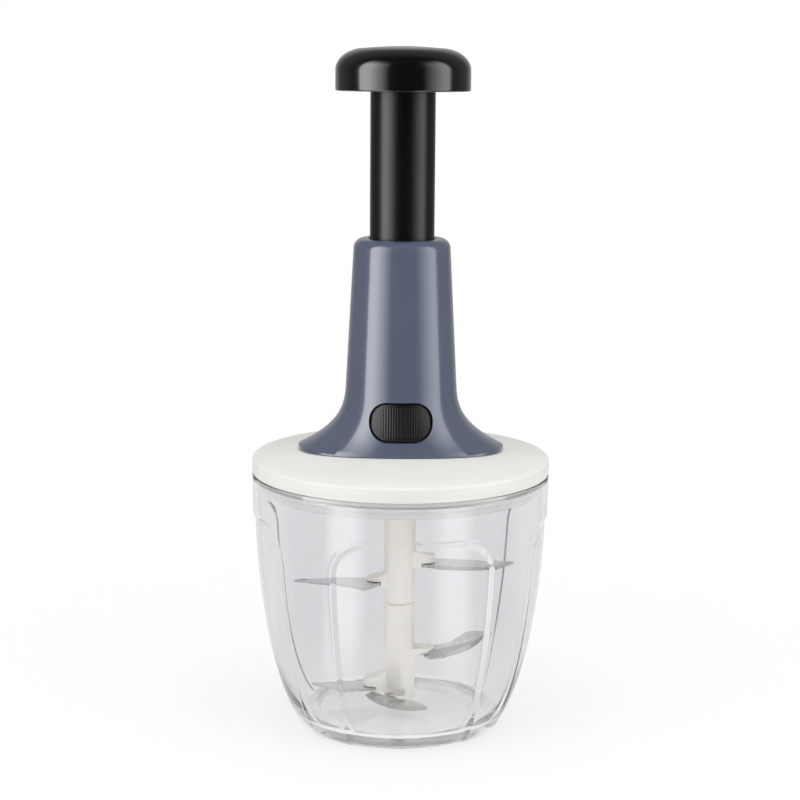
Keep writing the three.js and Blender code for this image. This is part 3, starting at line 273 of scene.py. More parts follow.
# Studio lamps, in metres. They light matt surfaces and don't show in gloss
BOX_DISTANCE = 0.9
BOX_MIDDLE = 0.25
BOX_WIDTH = 0.5
BOX_HEIGHT = 0.9
LEFT_BOX = {"azimuth": -62, "radiance": 1.9}
RIGHT_BOX = {"azimuth": 62, "radiance": 1.9}
TOP_PLACE = (0, -0.25, 1.1)
TOP_SIZE = (0.9, 0.6)
TOP_RADIANCE = 2.2

# What gloss mirrors: two upright strips of light, dim sides and the backdrop behind the object.
# A strip's azimuths count in degrees from the camera's side: two to fade in and two to end
LEFT_STRIP = {"side": -1, "fade": (24, 60), "edge": (78, 81), "level": 4.4}
RIGHT_STRIP = {"side": 1, "fade": (35, 72), "edge": (84, 90), "level": 2.5}
STRIP_TOP = (0.55, 0.85)
PAPER_LEFT = {"side": -1, "fade": (22, 34), "edge": (46, 56), "level": 3.0}
PAPER_RIGHT = {"side": 1, "fade": (20, 34), "edge": (44, 56), "level": 2.6}
DARK_LEVEL = 0.03
SIDE_LEVEL = 0.15
SIDES_FROM = (-0.05, 0.3)
BACKDROP_LEVEL = 0.4
BACKDROP_FROM = (0.7, 0.95)
PAPER_LEVEL = 0.8
PAPER_NEAR_LEVEL = 0.8

# What matt surfaces see: an even room that is brighter above. Pieces inside the bowl see more,
# because no lamp reaches them through its wall. Clear pieces show dimmer sides round the backdrop
ROOM_LEVEL = 0.42
DOME_LEVEL = 0.48
INNER_LEVEL = 1.72
PASSING_SIDE_LEVEL = 0.72
PASSING_BACKDROP = (0.3, 0.85)

# Paper under the object, in metres
PAPER_RADIUS = 0.5
PAPER_DROP = 0.0002
PAPER_SHADES = (0.9, 0.94)
PAPER_BEHIND = (-0.06, 0.06)
PAPER_FAR = (0.06, 0.16)

# The paper turns even white over a distance. Its share of white near the object, and through clear pieces
PAPER_FADE = (0.05, 0.35)
PAPER_WHITE_NEAR = (0.7, 0.95)


# Shader building. The Mix node's colour sockets share their names with others, so they go by number
COLOUR_A = 6
COLOUR_B = 7
COLOUR_RESULT = 2
WHITE = (1, 1, 1)


class Signal:
    """A shader socket that Python's arithmetic can use."""

    def __init__(self, finish, socket):
        self.finish = finish
        self.socket = socket

    def math(self, operation, first, second):
        return self.finish.add("ShaderNodeMath", {"operation": operation}, {0: first, 1: second})

    def __add__(self, other):
        return self.math("ADD", self, other)

    def __radd__(self, other):
        return self.math("ADD", other, self)

    def __sub__(self, other):
        return self.math("SUBTRACT", self, other)

    def __rsub__(self, other):
        return self.math("SUBTRACT", other, self)

    def __mul__(self, other):
        return self.math("MULTIPLY", self, other)

    def between(self, first, second):
        """From the first level to the second as this signal goes from 0 to 1."""
        return self * (second - first) + first

    def above(self, other):
        return self.math("MAXIMUM", self, other)

    def below(self, other):
        return self.math("MINIMUM", self, other)


class Finish:
    """One material or world, built node by node."""

    def __init__(self, owner):
        self.owner = owner
        owner.use_nodes = True
        self.tree = owner.node_tree
        self.tree.nodes.clear()

    def add(self, kind, settings=None, inputs=None, output=0):
        """A new node's output, with signals or plain values in its inputs."""
        node = self.tree.nodes.new(kind)
        for key, value in (settings or {}).items():
            setattr(node, key, value)
        for key, value in (inputs or {}).items():
            if isinstance(value, Signal):
                self.tree.links.new(value.socket, node.inputs[key])
            else:
                node.inputs[key].default_value = value
        return Signal(self, node.outputs[output]) if len(node.outputs) else None

    def place(self, stretch=(1, 1, 1)):
        """Object coordinates in metres, stretched along each axis."""
        coordinates = self.add("ShaderNodeTexCoord", output="Object")
        return self.add("ShaderNodeMapping", inputs={"Vector": coordinates, "Scale": stretch})

    def noise(self, scale, detail=2.0, stretch=(1, 1, 1)):
        inputs = {"Vector": self.place(stretch), "Scale": scale, "Detail": detail}
        return self.add("ShaderNodeTexNoise", inputs=inputs)

    def ramp(self, value, low, high):
        """The share of the way from low to high, kept between 0 and 1."""
        return self.add("ShaderNodeMapRange", {"clamp": True}, {0: value, 1: low, 2: high})

    def blend(self, share, first, second):
        """From the first colour to the second as the share goes from 0 to 1."""
        inputs = {0: share, COLOUR_A: first, COLOUR_B: (*second, 1)}
        if not isinstance(first, Signal):
            inputs[COLOUR_A] = (*first, 1)
        return self.add("ShaderNodeMix", {"data_type": "RGBA"}, inputs, output=COLOUR_RESULT)

    def bump(self, height, distance, strength=1.0):
        inputs = {"Height": height, "Distance": distance, "Strength": strength}
        return self.add("ShaderNodeBump", inputs=inputs)

    def surface(self, **inputs):
        named = {key.replace("_", " "): value for key, value in inputs.items()}
        shader = self.add("ShaderNodeBsdfPrincipled", inputs=named)
        self.add("ShaderNodeOutputMaterial", inputs={"Surface": shader})
        return self.owner


def finish_named(name):
    return Finish(bpy.data.materials.new(name))


def tone(colour, share):
    return tuple(channel * share for channel in colour)


def axis_of(finish, direction, axis):
    return finish.add("ShaderNodeSeparateXYZ", inputs={0: direction}, output=axis)


def moulded(name, colour, roughness, grain, coat=0.0):
    """Moulded plastic: faint cloudiness in its colour, fine grain and uneven gloss."""
    finish = finish_named(name)
    cloud = finish.noise(scale=35, detail=3)
    fine = finish.noise(scale=2600, detail=1)
    scuff = finish.noise(scale=160, detail=4, stretch=(1, 1, 0.25))
    shade = finish.blend(cloud, tone(colour, 1 - CLOUD_SPREAD), tone(colour, 1 + CLOUD_SPREAD))
    gloss = roughness + (scuff - 0.5) * (GLOSS_SPREAD * roughness)
    normal = finish.bump(fine * FINE_SHARE + cloud * (1 - FINE_SHARE), grain * MM)
    return finish.surface(Base_Color=shade, Roughness=gloss, Normal=normal,
                          Coat_Weight=coat, Coat_Roughness=COAT_ROUGHNESS)


def clear_moulded(name):
    """Clear plastic with a cool tint, flow marks, the finest scratches and a frosted underside."""
    finish = finish_named(name)
    flow = finish.noise(scale=28, detail=2, stretch=(1, 1, 0.35))
    scratch = finish.noise(scale=900, detail=3, stretch=(1, 1, 0.08))
    tint = finish.blend(flow, CLEAR_DARK, CLEAR_LIGHT)
    height = axis_of(finish, finish.place(), "Z")
    frosted = finish.ramp(height, FROST_TOP * MM, FROST_FULL * MM)
    tint = finish.blend(frosted, tint, WHITE)
    scratched = finish.ramp(scratch, *SCRATCH_RANGE)
    gloss = CLEAR_ROUGHNESS + scratched * SCRATCH_ROUGHNESS + frosted * FROST_ROUGHNESS
    normal = finish.bump(flow, FLOW_DEPTH * MM, FLOW_STRENGTH)
    return finish.surface(Base_Color=tint, Roughness=gloss, Normal=normal, Transmission_Weight=1.0,
                          IOR=CLEAR_IOR, Coat_Weight=1.0, Coat_Roughness=CLEAR_COAT_ROUGHNESS)


def ground_steel(name, colour, roughness, stretch):
    """Ground or drawn steel, its fine lines running where the stretch is small."""
    finish = finish_named(name)
    lines = finish.noise(scale=1500, detail=4, stretch=stretch)
    patch = finish.noise(scale=60, detail=3)
    dark, light = (tone(colour, share) for share in LINE_SHADES)
    shade = finish.blend(lines * LINE_SHARE + patch * (1 - LINE_SHARE), dark, light)
    gloss = roughness + (lines - 0.5) * (LINE_GLOSS_SPREAD * roughness)
    normal = finish.bump(lines, LINE_DEPTH * MM)
    return finish.surface(Base_Color=shade, Metallic=1.0, Roughness=gloss, Normal=normal)


# Finishes by slot, and black_gloss for the knob. Each gives colour, roughness, then grain or stretch
MATERIALS = {
    "clear_plastic": clear_moulded("clear_plastic_finish"),
    "blue_grey_gloss": moulded("blue_grey_gloss_finish", (0.097, 0.115, 0.172), 0.26, 0.004, coat=1.0),
    "off_white": moulded("off_white_finish", (0.823, 0.831, 0.783), 0.42, 0.01),
    "cream": moulded("cream_finish", (0.86, 0.83, 0.76), 0.45, 0.01),
    "black_satin": moulded("black_satin_finish", (0.0025, 0.0025, 0.0027), 0.3, 0.005),
    "black_gloss": moulded("black_gloss_finish", (0.0025, 0.0025, 0.0027), 0.2, 0.004, coat=0.8),
    "button_black": moulded("button_black_finish", (0.006, 0.006, 0.0055), 0.34, 0.010),
    "silicone": moulded("silicone_finish", (0.88, 0.88, 0.84), 0.6, 0.008),
    "acetal": moulded("acetal_finish", (0.72, 0.71, 0.66), 0.38, 0.006),
    "blade_steel": ground_steel("blade_steel_finish", (0.68, 0.68, 0.69), 0.26, (0.06, 1, 1)),
    "screw_steel": ground_steel("screw_steel_finish", (0.62, 0.62, 0.60), 0.3, (1, 1, 0.3)),
    "spring_steel": ground_steel("spring_steel_finish", (0.55, 0.55, 0.56), 0.25, (1, 1, 1)),
}
RECORD = frame["record"]
SLOTS = {part["node"]: part["material_slot"] for part in RECORD["subparts"]}
BODIES = {node: body for body, nodes in RECORD["behaviour"]["bodies"].items() for node in nodes}


# Mesh building, in millimetres until it is finished
def profile_arc(r, z, radius_r, radius_z, start, end, steps):
    points = []
    for i in range(steps + 1):
        angle = start + (end - start) * i / steps
        points.append((r + radius_r * math.cos(angle), z + radius_z * math.sin(angle)))
    return points


def round_edge(r, z, radius, start, end, steps=SMALL_ARC_STEPS):
    return profile_arc(r, z, radius, radius, start, end, steps)


def lathe(profile, segments=ROUND_SEGMENTS):
    """A profile of (radius, height) points turned round Z. One that starts off the axis is a ring."""
    bm = bmesh.new()
    points = [bm.verts.new((r, 0, z)) for r, z in profile]
    closing = points[:1] if profile[0][0] > 0 else []
    edges = [bm.edges.new(pair) for pair in zip(points, points[1:] + closing)]
    bmesh.ops.spin(bm, geom=points + edges, cent=(0, 0, 0), axis=(0, 0, 1), dvec=(0, 0, 0),
                   angle=math.tau, steps=segments, use_merge=True)
    bmesh.ops.remove_doubles(bm, verts=bm.verts, dist=WELD)
    return bm


def loft(rings):
    """A skin drawn from ring to ring of points, closed at both ends."""
    bm = bmesh.new()
    first = [bm.verts.new(point) for point in rings[0]]
    edges = [bm.edges.new(pair) for pair in zip(first, first[1:] + first[:1])]
    bmesh.ops.edgenet_fill(bm, edges=edges)
    ring = first
    for points in rings[1:]:
        copies = [bm.verts.new(point) for point in points]
        made = [bm.edges.new(pair) for pair in zip(copies, copies[1:] + copies[:1])]
        for i in range(len(ring)):
            j = (i + 1) % len(ring)
            bm.faces.new((ring[i], ring[j], copies[j], copies[i]))
        ring, edges = copies, made
    bmesh.ops.edgenet_fill(bm, edges=edges)
    return bm


def finished(bm, name, *nodes, crease=CREASE, scale=MM, finish=None):
    """The object of a mesh: welded, smooth up to an angle, on its body and in place of its nodes."""
    bmesh.ops.remove_doubles(bm, verts=bm.verts, dist=WELD * MM / scale)
    bmesh.ops.recalc_face_normals(bm, faces=bm.faces)
    mesh = bpy.data.meshes.new(name)
    bm.to_mesh(mesh)
    bm.free()
    mesh.transform(Matrix.Scale(scale, 4))
    mesh.shade_smooth()
    mesh.set_sharp_from_angle(angle=math.radians(crease))
    piece = bpy.data.objects.new(name, mesh)
    bpy.context.scene.collection.objects.link(piece)
    slot = SLOTS[nodes[0]]
    mesh.materials.append(MATERIALS[finish or slot])
    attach(piece, BODIES[nodes[0]])
    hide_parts(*nodes)
    return piece


def add_bevel(piece, width):
    """Sharp edges cut off to a width in millimetres, with one edge between."""
    bevel = piece.modifiers.new("edges", "BEVEL")
    bevel.width = width * MM
    bevel.segments = 2
    bevel.limit_method = "ANGLE"
    bevel.angle_limit = math.radians(CREASE)


def add_post(bm, x, y, radius, bottom, top):
    """An upright round post, closed at both ends."""
    place = Matrix.Translation((x, y, (bottom + top) / 2))
    bmesh.ops.create_cone(bm, cap_ends=True, segments=SMALL_SEGMENTS, radius1=radius, radius2=radius,
                          depth=top - bottom, matrix=place)


def combine(piece, bm, operation):
    """The piece with the space of a mesh in millimetres added to it or taken out of it."""
    bmesh.ops.recalc_face_normals(bm, faces=bm.faces)
    mesh = bpy.data.meshes.new("tool")
    bm.to_mesh(mesh)
    bm.free()
    mesh.transform(Matrix.Scale(MM, 4))
    tool = bpy.data.objects.new("tool", mesh)
    bpy.context.scene.collection.objects.link(tool)
    boolean = piece.modifiers.new("combine", "BOOLEAN")
    boolean.operation = operation
    boolean.solver = "EXACT"
    boolean.object = tool
    bpy.context.view_layer.update()
    evaluated = piece.evaluated_get(bpy.context.evaluated_depsgraph_get())
    piece.data = bpy.data.meshes.new_from_object(evaluated)
    piece.modifiers.clear()
    piece.data.set_sharp_from_angle(angle=math.radians(CREASE))
    bpy.data.objects.remove(tool)
    return piece


# Bowl
def bowl_radius(z, foot, rim, bottom, share):
    up = min(max((z - bottom) / (BOWL_HEIGHT - bottom), 0), 1)
    return foot + (rim - foot) * (1 - (1 - up) ** RISE_SHARE) ** share


def outer_radius(z):
    return bowl_radius(z, BOWL_FOOT, BOWL_RIM, 0, OUTER_SHARE)


def inner_radius(z):
    return bowl_radius(z, FLOOR_RADIUS, BOWL_RIM - BOWL_WALL, BOWL_FLOOR, INNER_SHARE)


def crowded(bottom, top, steps):
    """Heights that crowd towards the tight curve at the bottom."""
    return [bottom + (top - bottom) * (i / steps) ** WALL_CROWDING for i in range(steps + 1)]


def border_distance(angle, z):
    """How far outside the nearest recessed panel a place on the wall is, or less than 0 inside it."""
    spacing = math.tau / PANELS
    across = abs((angle + spacing / 2) % spacing - spacing / 2)
    beside = outer_radius(z) * (across - PANEL_HALF_ANGLE) + PANEL_CORNER
    above = z - PANEL_TOP + PANEL_CORNER
    return math.hypot(max(beside, 0), max(above, 0)) + min(max(beside, above), 0) - PANEL_CORNER


def panel_recess(angle, z):
    """How far the wall is moved in: a soft step down into the panel, with a fine bead along it."""
    distance = border_distance(angle, z)
    share = min(max(0.5 - distance / PANEL_STEP, 0), 1)
    bead = math.exp(-((distance - PANEL_STEP / 2) / BEAD_WIDTH) ** 2)
    return PANEL_DEPTH * share * share * (3 - 2 * share) - BEAD_HEIGHT * bead


def spread(first, last, count):
    return [first + (last - first) * i / count for i in range(count)]


def wall_angles():
    """Angles round the bowl, crowded at the borders of the panels."""
    spacing = math.tau / PANELS
    inner = PANEL_HALF_ANGLE - BORDER_SPREAD
    outer = PANEL_HALF_ANGLE + BORDER_SPREAD
    one_panel = [*spread(-inner, inner, PANEL_COLUMNS), *spread(inner, outer, BORDER_COLUMNS),
                 *spread(outer, spacing - outer, BORDER_COLUMNS),
                 *spread(spacing - outer, spacing - inner, BORDER_COLUMNS)]
    return [angle + spacing * i for i in range(PANELS) for angle in one_panel]


def foot_profile():
    recess = BOWL_FOOT - FOOT_RING
    return [
        (0, FOOT_RECESS), (recess - 1.6 * FOOT_RECESS, FOOT_RECESS),
        (recess - FOOT_RECESS, 0.8 * FOOT_RECESS), (recess, HARD_EDGE), (recess + SOFT_EDGE, 0),
        (BOWL_FOOT - FOOT_ROUND, 0),
    ]


def rim_profile():
    """The rim's two rounded edges. Each arc leaves out the turn next to the wall."""
    middle = BOWL_HEIGHT - RIM_ROUND
    inner = BOWL_RIM - BOWL_WALL + RIM_ROUND
    return [
        *round_edge(BOWL_RIM - RIM_ROUND, middle, RIM_ROUND, RIM_ARC_START, QUARTER),
        *round_edge(inner, middle, RIM_ROUND, QUARTER, 2 * QUARTER - RIM_ARC_START),
    ]


def floor_profile():
    """The dish in the bowl's floor, and the boss with the pivot pin's hole."""
    dish = BOWL_FLOOR - DISH_DEPTH
    boss_top = dish + BOSS_HEIGHT
    hole_bottom = boss_top - PIN_HOLE_DEPTH
    return [
        (DISH_RADIUS + DISH_LIP, BOWL_FLOOR), (DISH_RADIUS, BOWL_FLOOR - HARD_EDGE),
        (DISH_RADIUS - DISH_DEPTH, dish + DISH_FILLET), (DISH_RADIUS - 2 * DISH_DEPTH, dish),
        (BOSS_RADIUS + BOSS_FILLET, dish), (BOSS_RADIUS + FINE_EDGE, dish + SOFT_EDGE),
        (BOSS_RADIUS, boss_top - SOFT_EDGE), (BOSS_RADIUS - SOFT_EDGE, boss_top),
        (PIN_HOLE_RADIUS, boss_top), (PIN_HOLE_RADIUS, hole_bottom), (0, hole_bottom),
    ]


def make_bowl():
    """The bowl is turned on the lathe, then its outer wall is moved in where the panels are."""
    corner_bottom, corner_top = PANEL_TOP - PANEL_CORNER, PANEL_TOP + PANEL_STEP
    wall_top = BOWL_HEIGHT - RIM_ROUND
    heights = [*crowded(0, corner_bottom, WALL_ROWS)[:-1], *spread(corner_bottom, corner_top, CORNER_ROWS),
               *spread(corner_top, wall_top, RIM_ROWS), wall_top]
    outside = [(outer_radius(z), z) for z in heights]
    inside = [(inner_radius(z), z) for z in crowded(BOWL_FLOOR, wall_top, INNER_ROWS)]
    angles = wall_angles()
    profile = [*foot_profile(), *outside, *rim_profile(), *reversed(inside), *floor_profile()]
    bm = lathe(profile, len(angles))
    for vert in bm.verts:
        x, y, z = vert.co
        radius = math.hypot(x, y)
        step = round(math.atan2(y, x) / math.tau * len(angles)) % len(angles)
        if radius > BOWL_FOOT - FOOT_RING and radius > outer_radius(z) - BOWL_WALL / 4:
            radius -= panel_recess(angles[step], z)
        turned = angles[step] + PANEL_TURN
        vert.co = (radius * math.cos(turned), radius * math.sin(turned), z)
    finished(bm, "bowl_clear", "bowl", crease=BOWL_CREASE)


# Lid and gasket
def dome_height(r):
    return LID_PAD_TOP - LID_RISE * (r / DOME_RADIUS) ** LID_POWER


def lid_profile():
    skirt = PLUG_RADIUS - PLUG_WALL
    well = WELL_RADIUS + WELL_WALL
    pad_under = LID_PAD_TOP - LID_WALL
    gasket_top = GASKET_BOTTOM + GASKET_HEIGHT
    seat_end = LID_RADIUS - LID_SEAT_ROUND
    edge_start = LID_RADIUS - LID_EDGE_ROUND
    under = [(skirt * share, dome_height(skirt * share) - LID_WALL) for share in DOME_UNDER_SHARES]
    over = [(DOME_RADIUS * share, dome_height(DOME_RADIUS * share)) for share in DOME_OVER_SHARES]
    return [
        (WELL_RADIUS, WELL_BOTTOM), (well, WELL_BOTTOM), (well, pad_under), (LID_PAD_RADIUS, pad_under),
        *under,
        (skirt, PLUG_BOTTOM + FINE_EDGE), (skirt + FINE_EDGE, PLUG_BOTTOM),
        (PLUG_RADIUS - SOFT_EDGE, PLUG_BOTTOM), (PLUG_RADIUS, PLUG_BOTTOM + SOFT_EDGE),
        (PLUG_RADIUS, GASKET_BOTTOM), (GASKET_ROOT, GASKET_BOTTOM), (GASKET_ROOT, gasket_top),
        (PLUG_RADIUS, gasket_top), (PLUG_RADIUS, LID_SEAT), (seat_end - LID_SEAT_FLAT, LID_SEAT),
        *round_edge(seat_end, LID_SEAT + LID_SEAT_ROUND, LID_SEAT_ROUND, -QUARTER, 0),
        *round_edge(edge_start, LID_EDGE - LID_EDGE_ROUND, LID_EDGE_ROUND, 0, LID_EDGE_TURN, ARC_STEPS),
        *over,
        (LID_PAD_RADIUS, dome_height(LID_PAD_RADIUS)), (LID_PAD_RADIUS, LID_PAD_TOP),
        (WELL_RADIUS, LID_PAD_TOP),
    ]


def make_lid():
    """The lid, with bosses for the cover's screws, pads for the handle's and holes for all of them."""
    cap = finished(lathe(lid_profile(), FINE_SEGMENTS), "lid_cap", "lid")
    boss_top = LID_PAD_TOP - LID_WALL / 2
    pad_top = dome_height(HANDLE_SCREW_REACH) - LID_WALL / 2
    bosses = bmesh.new()
    holes = bmesh.new()
    for i in range(COVER_SCREWS):
        angle = QUARTER + math.tau * i / COVER_SCREWS
        x, y = COVER_CIRCLE * math.cos(angle), COVER_CIRCLE * math.sin(angle)
        add_post(bosses, x, y, COVER_BOSS_RADIUS, WELL_BOTTOM, boss_top)
        add_post(holes, x, y, SCREW_HOLE_RADIUS, WELL_BOTTOM - CUT_OVERRUN, COVER_HOLE_TOP)
    for side in (-1, 1):
        add_post(bosses, side * HANDLE_SCREW_REACH, 0, HANDLE_PAD_RADIUS, HANDLE_SCREW_SEAT, pad_top)
        for reach in (HANDLE_SCREW_REACH, SLEEVE_SCREW_REACH):
            add_post(holes, side * reach, 0, SCREW_HOLE_RADIUS, WELL_BOTTOM, LID_PAD_TOP + CUT_OVERRUN)
    combine(combine(cap, bosses, "UNION"), holes, "DIFFERENCE")


def make_gasket():
    """A ring with two rounded lips, one above the other."""
    low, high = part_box("lid_gasket")
    bottom, top = low.z / MM, high.z / MM
    lip = high.x / MM
    inner = GASKET_ROOT + PIECE_GAP
    middle, waist = (bottom + top) / 2, lip - GASKET_LIP_REACH
    near, crest, far = GASKET_LIP_HEIGHTS
    beside = lip - GASKET_LIP_ROUND
    profile = [
        (inner, bottom), (waist, bottom), (beside, bottom + near), (lip, bottom + crest),
        (beside, bottom + far), (waist, middle), (beside, top - far), (lip, top - crest),
        (beside, top - near), (waist, top), (inner, top),
    ]
    finished(lathe(profile, FINE_SEGMENTS), "gasket_ring", "lid_gasket")


# Handle
def handle_radii(z):
    taper = HANDLE_TOP_RADIUS + (HANDLE_TOP - z) * HANDLE_TAPER
    foot = HANDLE_TOP_RADIUS + (HANDLE_TOP - FLARE_END) * HANDLE_TAPER
    share = min(max((FLARE_START - z) / (FLARE_START - FLARE_END), 0), 1)
    length = taper + (FOOT_LENGTH - foot) * share ** LENGTH_CURVE
    depth = taper + (FOOT_DEPTH - foot) * share ** DEPTH_CURVE
    return length, depth


def window_ring(y):
    """The window's rounded outline in X and Z, at one depth."""
    half_x = WINDOW_WIDTH / 2 - WINDOW_CORNER
    half_z = WINDOW_HEIGHT / 2 - WINDOW_CORNER
    corners = [(half_x, -half_z), (half_x, half_z), (-half_x, half_z), (-half_x, -half_z)]
    ring = []
    for turn, (x, z) in enumerate(corners):
        start = (turn - 1) * QUARTER
        end = start + QUARTER
        outline = round_edge(x, BUTTON_HEIGHT + z, WINDOW_CORNER, start, end, CORNER_STEPS)
        ring += [(across, y, up) for across, up in outline]
    return ring


def handle_wall_heights():
    lip = dome_height(FOOT_LENGTH) + SEAT_GAP
    flare = FLARE_START - FLARE_END
    straight = HANDLE_TOP - HANDLE_SHOULDER - FLARE_START
    return [
        lip, (lip + FLARE_END) / 2,
        *(FLARE_END + flare * (i / FLARE_ROWS) ** FLARE_CROWDING for i in range(FLARE_ROWS + 1)),
        *(FLARE_START + straight * i / STRAIGHT_ROWS for i in range(1, STRAIGHT_ROWS + 1)),
    ]


def handle_profile(heights):
    """The handle's long outline, from its lip up, over the shoulder and down inside."""
    outside = [(handle_radii(z)[0], z) for z in heights]
    shoulder_bottom = HANDLE_TOP - HANDLE_SHOULDER
    top_radius = handle_radii(shoulder_bottom)[0]
    middle = top_radius - HANDLE_SHOULDER
    shoulder = round_edge(middle, shoulder_bottom, HANDLE_SHOULDER, 0, QUARTER, ARC_STEPS)
    hole = TUBE_RADIUS + HANDLE_HOLE_GAP
    under_top = HANDLE_TOP - HANDLE_WALL
    inside = [(handle_radii(z)[0] - HANDLE_WALL, z) for z in heights if z < under_top]
    return [
        *outside, *shoulder[1:], (hole + SOFT_EDGE, HANDLE_TOP), (hole, HANDLE_TOP - SOFT_EDGE),
        (hole, under_top), (top_radius - 2 * HANDLE_WALL, under_top), *reversed(inside),
    ]


def make_handle():
    """A turned shell, squeezed in depth at its foot and lifted to sit along the lid's dome."""
    heights = handle_wall_heights()
    bm = lathe(handle_profile(heights), FINE_SEGMENTS)
    for vert in bm.verts:
        length, depth = handle_radii(vert.co.z)
        radius = math.hypot(vert.co.x, vert.co.y)
        inset = max(length - radius, 0)
        vert.co.y *= (depth - inset) / (length - inset)
        seat = dome_height(math.hypot(vert.co.x, vert.co.y)) + SEAT_GAP
        rank = (vert.co.z - heights[0]) / (FLARE_START - heights[0])
        vert.co.z = max(vert.co.z, seat + max(rank, 0))
    shell = finished(bm, "handle_grip", "handle_shell")
    boss_bottom = dome_height(HANDLE_SCREW_REACH - HANDLE_BOSS_RADIUS) + SEAT_GAP
    bosses = bmesh.new()
    cuts = loft([window_ring(-FOOT_DEPTH - CUT_OVERRUN), window_ring(-TUBE_RADIUS)])
    for x in (-HANDLE_SCREW_REACH, HANDLE_SCREW_REACH):
        add_post(bosses, x, 0, HANDLE_BOSS_RADIUS, boss_bottom, HANDLE_BOSS_TOP)
        add_post(cuts, x, 0, PILOT_RADIUS, HANDLE_SCREW_SEAT, HANDLE_BOSS_TOP - SEAT_GAP)
    add_bevel(combine(combine(shell, bosses, "UNION"), cuts, "DIFFERENCE"), WINDOW_EDGE)


# Lock button
def button_front(x, z):
    """Where the button's front lies: along the handle's surface, but sunk into the window."""
    length, depth = handle_radii(z)
    return -depth * math.sqrt(1 - (x / length) ** 2) + BUTTON_SINK


def make_button():
    """A cap with fine upright ribs that fills the window and follows the handle's curve."""
    half_x = WINDOW_WIDTH / 2 - BUTTON_GAP
    half_z = WINDOW_HEIGHT / 2 - BUTTON_GAP
    corner = WINDOW_CORNER - BUTTON_GAP
    bm = bmesh.new()
    bmesh.ops.create_grid(bm, x_segments=BUTTON_COLUMNS, y_segments=BUTTON_ROWS, size=1)
    for vert in bm.verts:
        across, up = vert.co.x, vert.co.y
        x = half_x * math.sin(across * QUARTER) * SIDE_CROWDING + half_x * across * (1 - SIDE_CROWDING)
        beyond = max(abs(x) - (half_x - corner), 0)
        reach = half_z - corner + math.sqrt(max(corner ** 2 - beyond ** 2, 0))
        z = BUTTON_HEIGHT + reach * up
        edge = min(half_x - abs(x), reach * (1 - abs(up)))
        inside = min(max((edge - RIB_MARGIN) / RIB_MARGIN, 0), 1)
        ribbed = inside * min(max((RIBBED_HALF_WIDTH - abs(x)) / RIB_FADE, 0), 1)
        rib = RIB_DEPTH * (0.5 + 0.5 * math.cos(math.tau * x / RIB_PITCH)) * ribbed
        drop = BUTTON_EDGE_DROP * (1 - min(edge / BUTTON_EDGE_WIDTH, 1)) ** 2
        rounded = drop + BUTTON_CROWN * (x / half_x) ** 2
        vert.co = (x, button_front(x, z) + rounded - rib, z)
    bmesh.ops.recalc_face_normals(bm, faces=bm.faces)
    extruded = bmesh.ops.extrude_face_region(bm, geom=bm.faces[:])
    moved = [part for part in extruded["geom"] if isinstance(part, bmesh.types.BMVert)]
    for vert in moved:
        vert.co.y = button_front(vert.co.x, vert.co.z) + BUTTON_THICKNESS
    finished(bm, "button_ribbed", "lock_button", crease=SOFT_CREASE)


# Plunger
def make_knob():
    edge = KNOB_TOP - KNOB_CROWN - KNOB_EDGE_HEIGHT
    shoulder = KNOB_RADIUS - KNOB_EDGE_WIDTH
    crown = [(shoulder * share, KNOB_TOP - KNOB_CROWN * share ** 2) for share in KNOB_CROWN_SHARES]
    inner = KNOB_RADIUS - KNOB_WALL
    bore = TUBE_RADIUS - TUBE_WALL
    stop = KNOB_BOTTOM + KNOB_SPRING_STOP
    ceiling = KNOB_TOP - HOLLOW_CEILING
    rim = KNOB_RADIUS - KNOB_RIM_ROUND
    profile = [
        (0, stop), (bore, stop), (bore, KNOB_HUB_BOTTOM), (KNOB_HUB_RADIUS, KNOB_HUB_BOTTOM),
        (KNOB_HUB_RADIUS, ceiling), (inner - HOLLOW_CURVE, ceiling - HOLLOW_SLOPE),
        (inner - HOLLOW_CORNER, edge + HOLLOW_CEILING), (inner, edge), (inner, KNOB_BOTTOM),
        (rim, KNOB_BOTTOM), *round_edge(rim, KNOB_BOTTOM + KNOB_RIM_ROUND, KNOB_RIM_ROUND, -QUARTER, 0),
        *profile_arc(shoulder, edge, KNOB_EDGE_WIDTH, KNOB_EDGE_HEIGHT, 0, QUARTER, WIDE_ARC_STEPS),
        *crown, (0, KNOB_TOP),
    ]
    finished(lathe(profile), "knob_cap", "press_knob", finish="black_gloss")


def make_knob_base():
    low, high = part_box("knob_base")
    bottom, top = low.z / MM, high.z / MM
    outer = high.x / MM
    inner = TUBE_RADIUS + PIECE_GAP
    profile = [
        (inner, bottom + FINE_EDGE), (inner + FINE_EDGE, bottom), (outer - FINE_EDGE, bottom),
        (outer, bottom + FINE_EDGE), (outer, top), (inner, top),
    ]
    finished(lathe(profile), "knob_underside", "knob_base")


# Pieces that keep their CAD shape
def refined(node, name, bevel=0.0, crease=CREASE):
    """A CAD node's own shape with merged corners, smooth curves and softened edges."""
    bm = bmesh.new()
    bm.from_mesh(frame["nodes"][node].data)
    bmesh.ops.remove_doubles(bm, verts=bm.verts, dist=WELD * MM)
    bmesh.ops.dissolve_limit(bm, angle_limit=math.radians(FLAT_ANGLE), verts=bm.verts, edges=bm.edges)
    piece = finished(bm, name, node, crease=crease, scale=1.0)
    if bevel:
        add_bevel(piece, bevel)


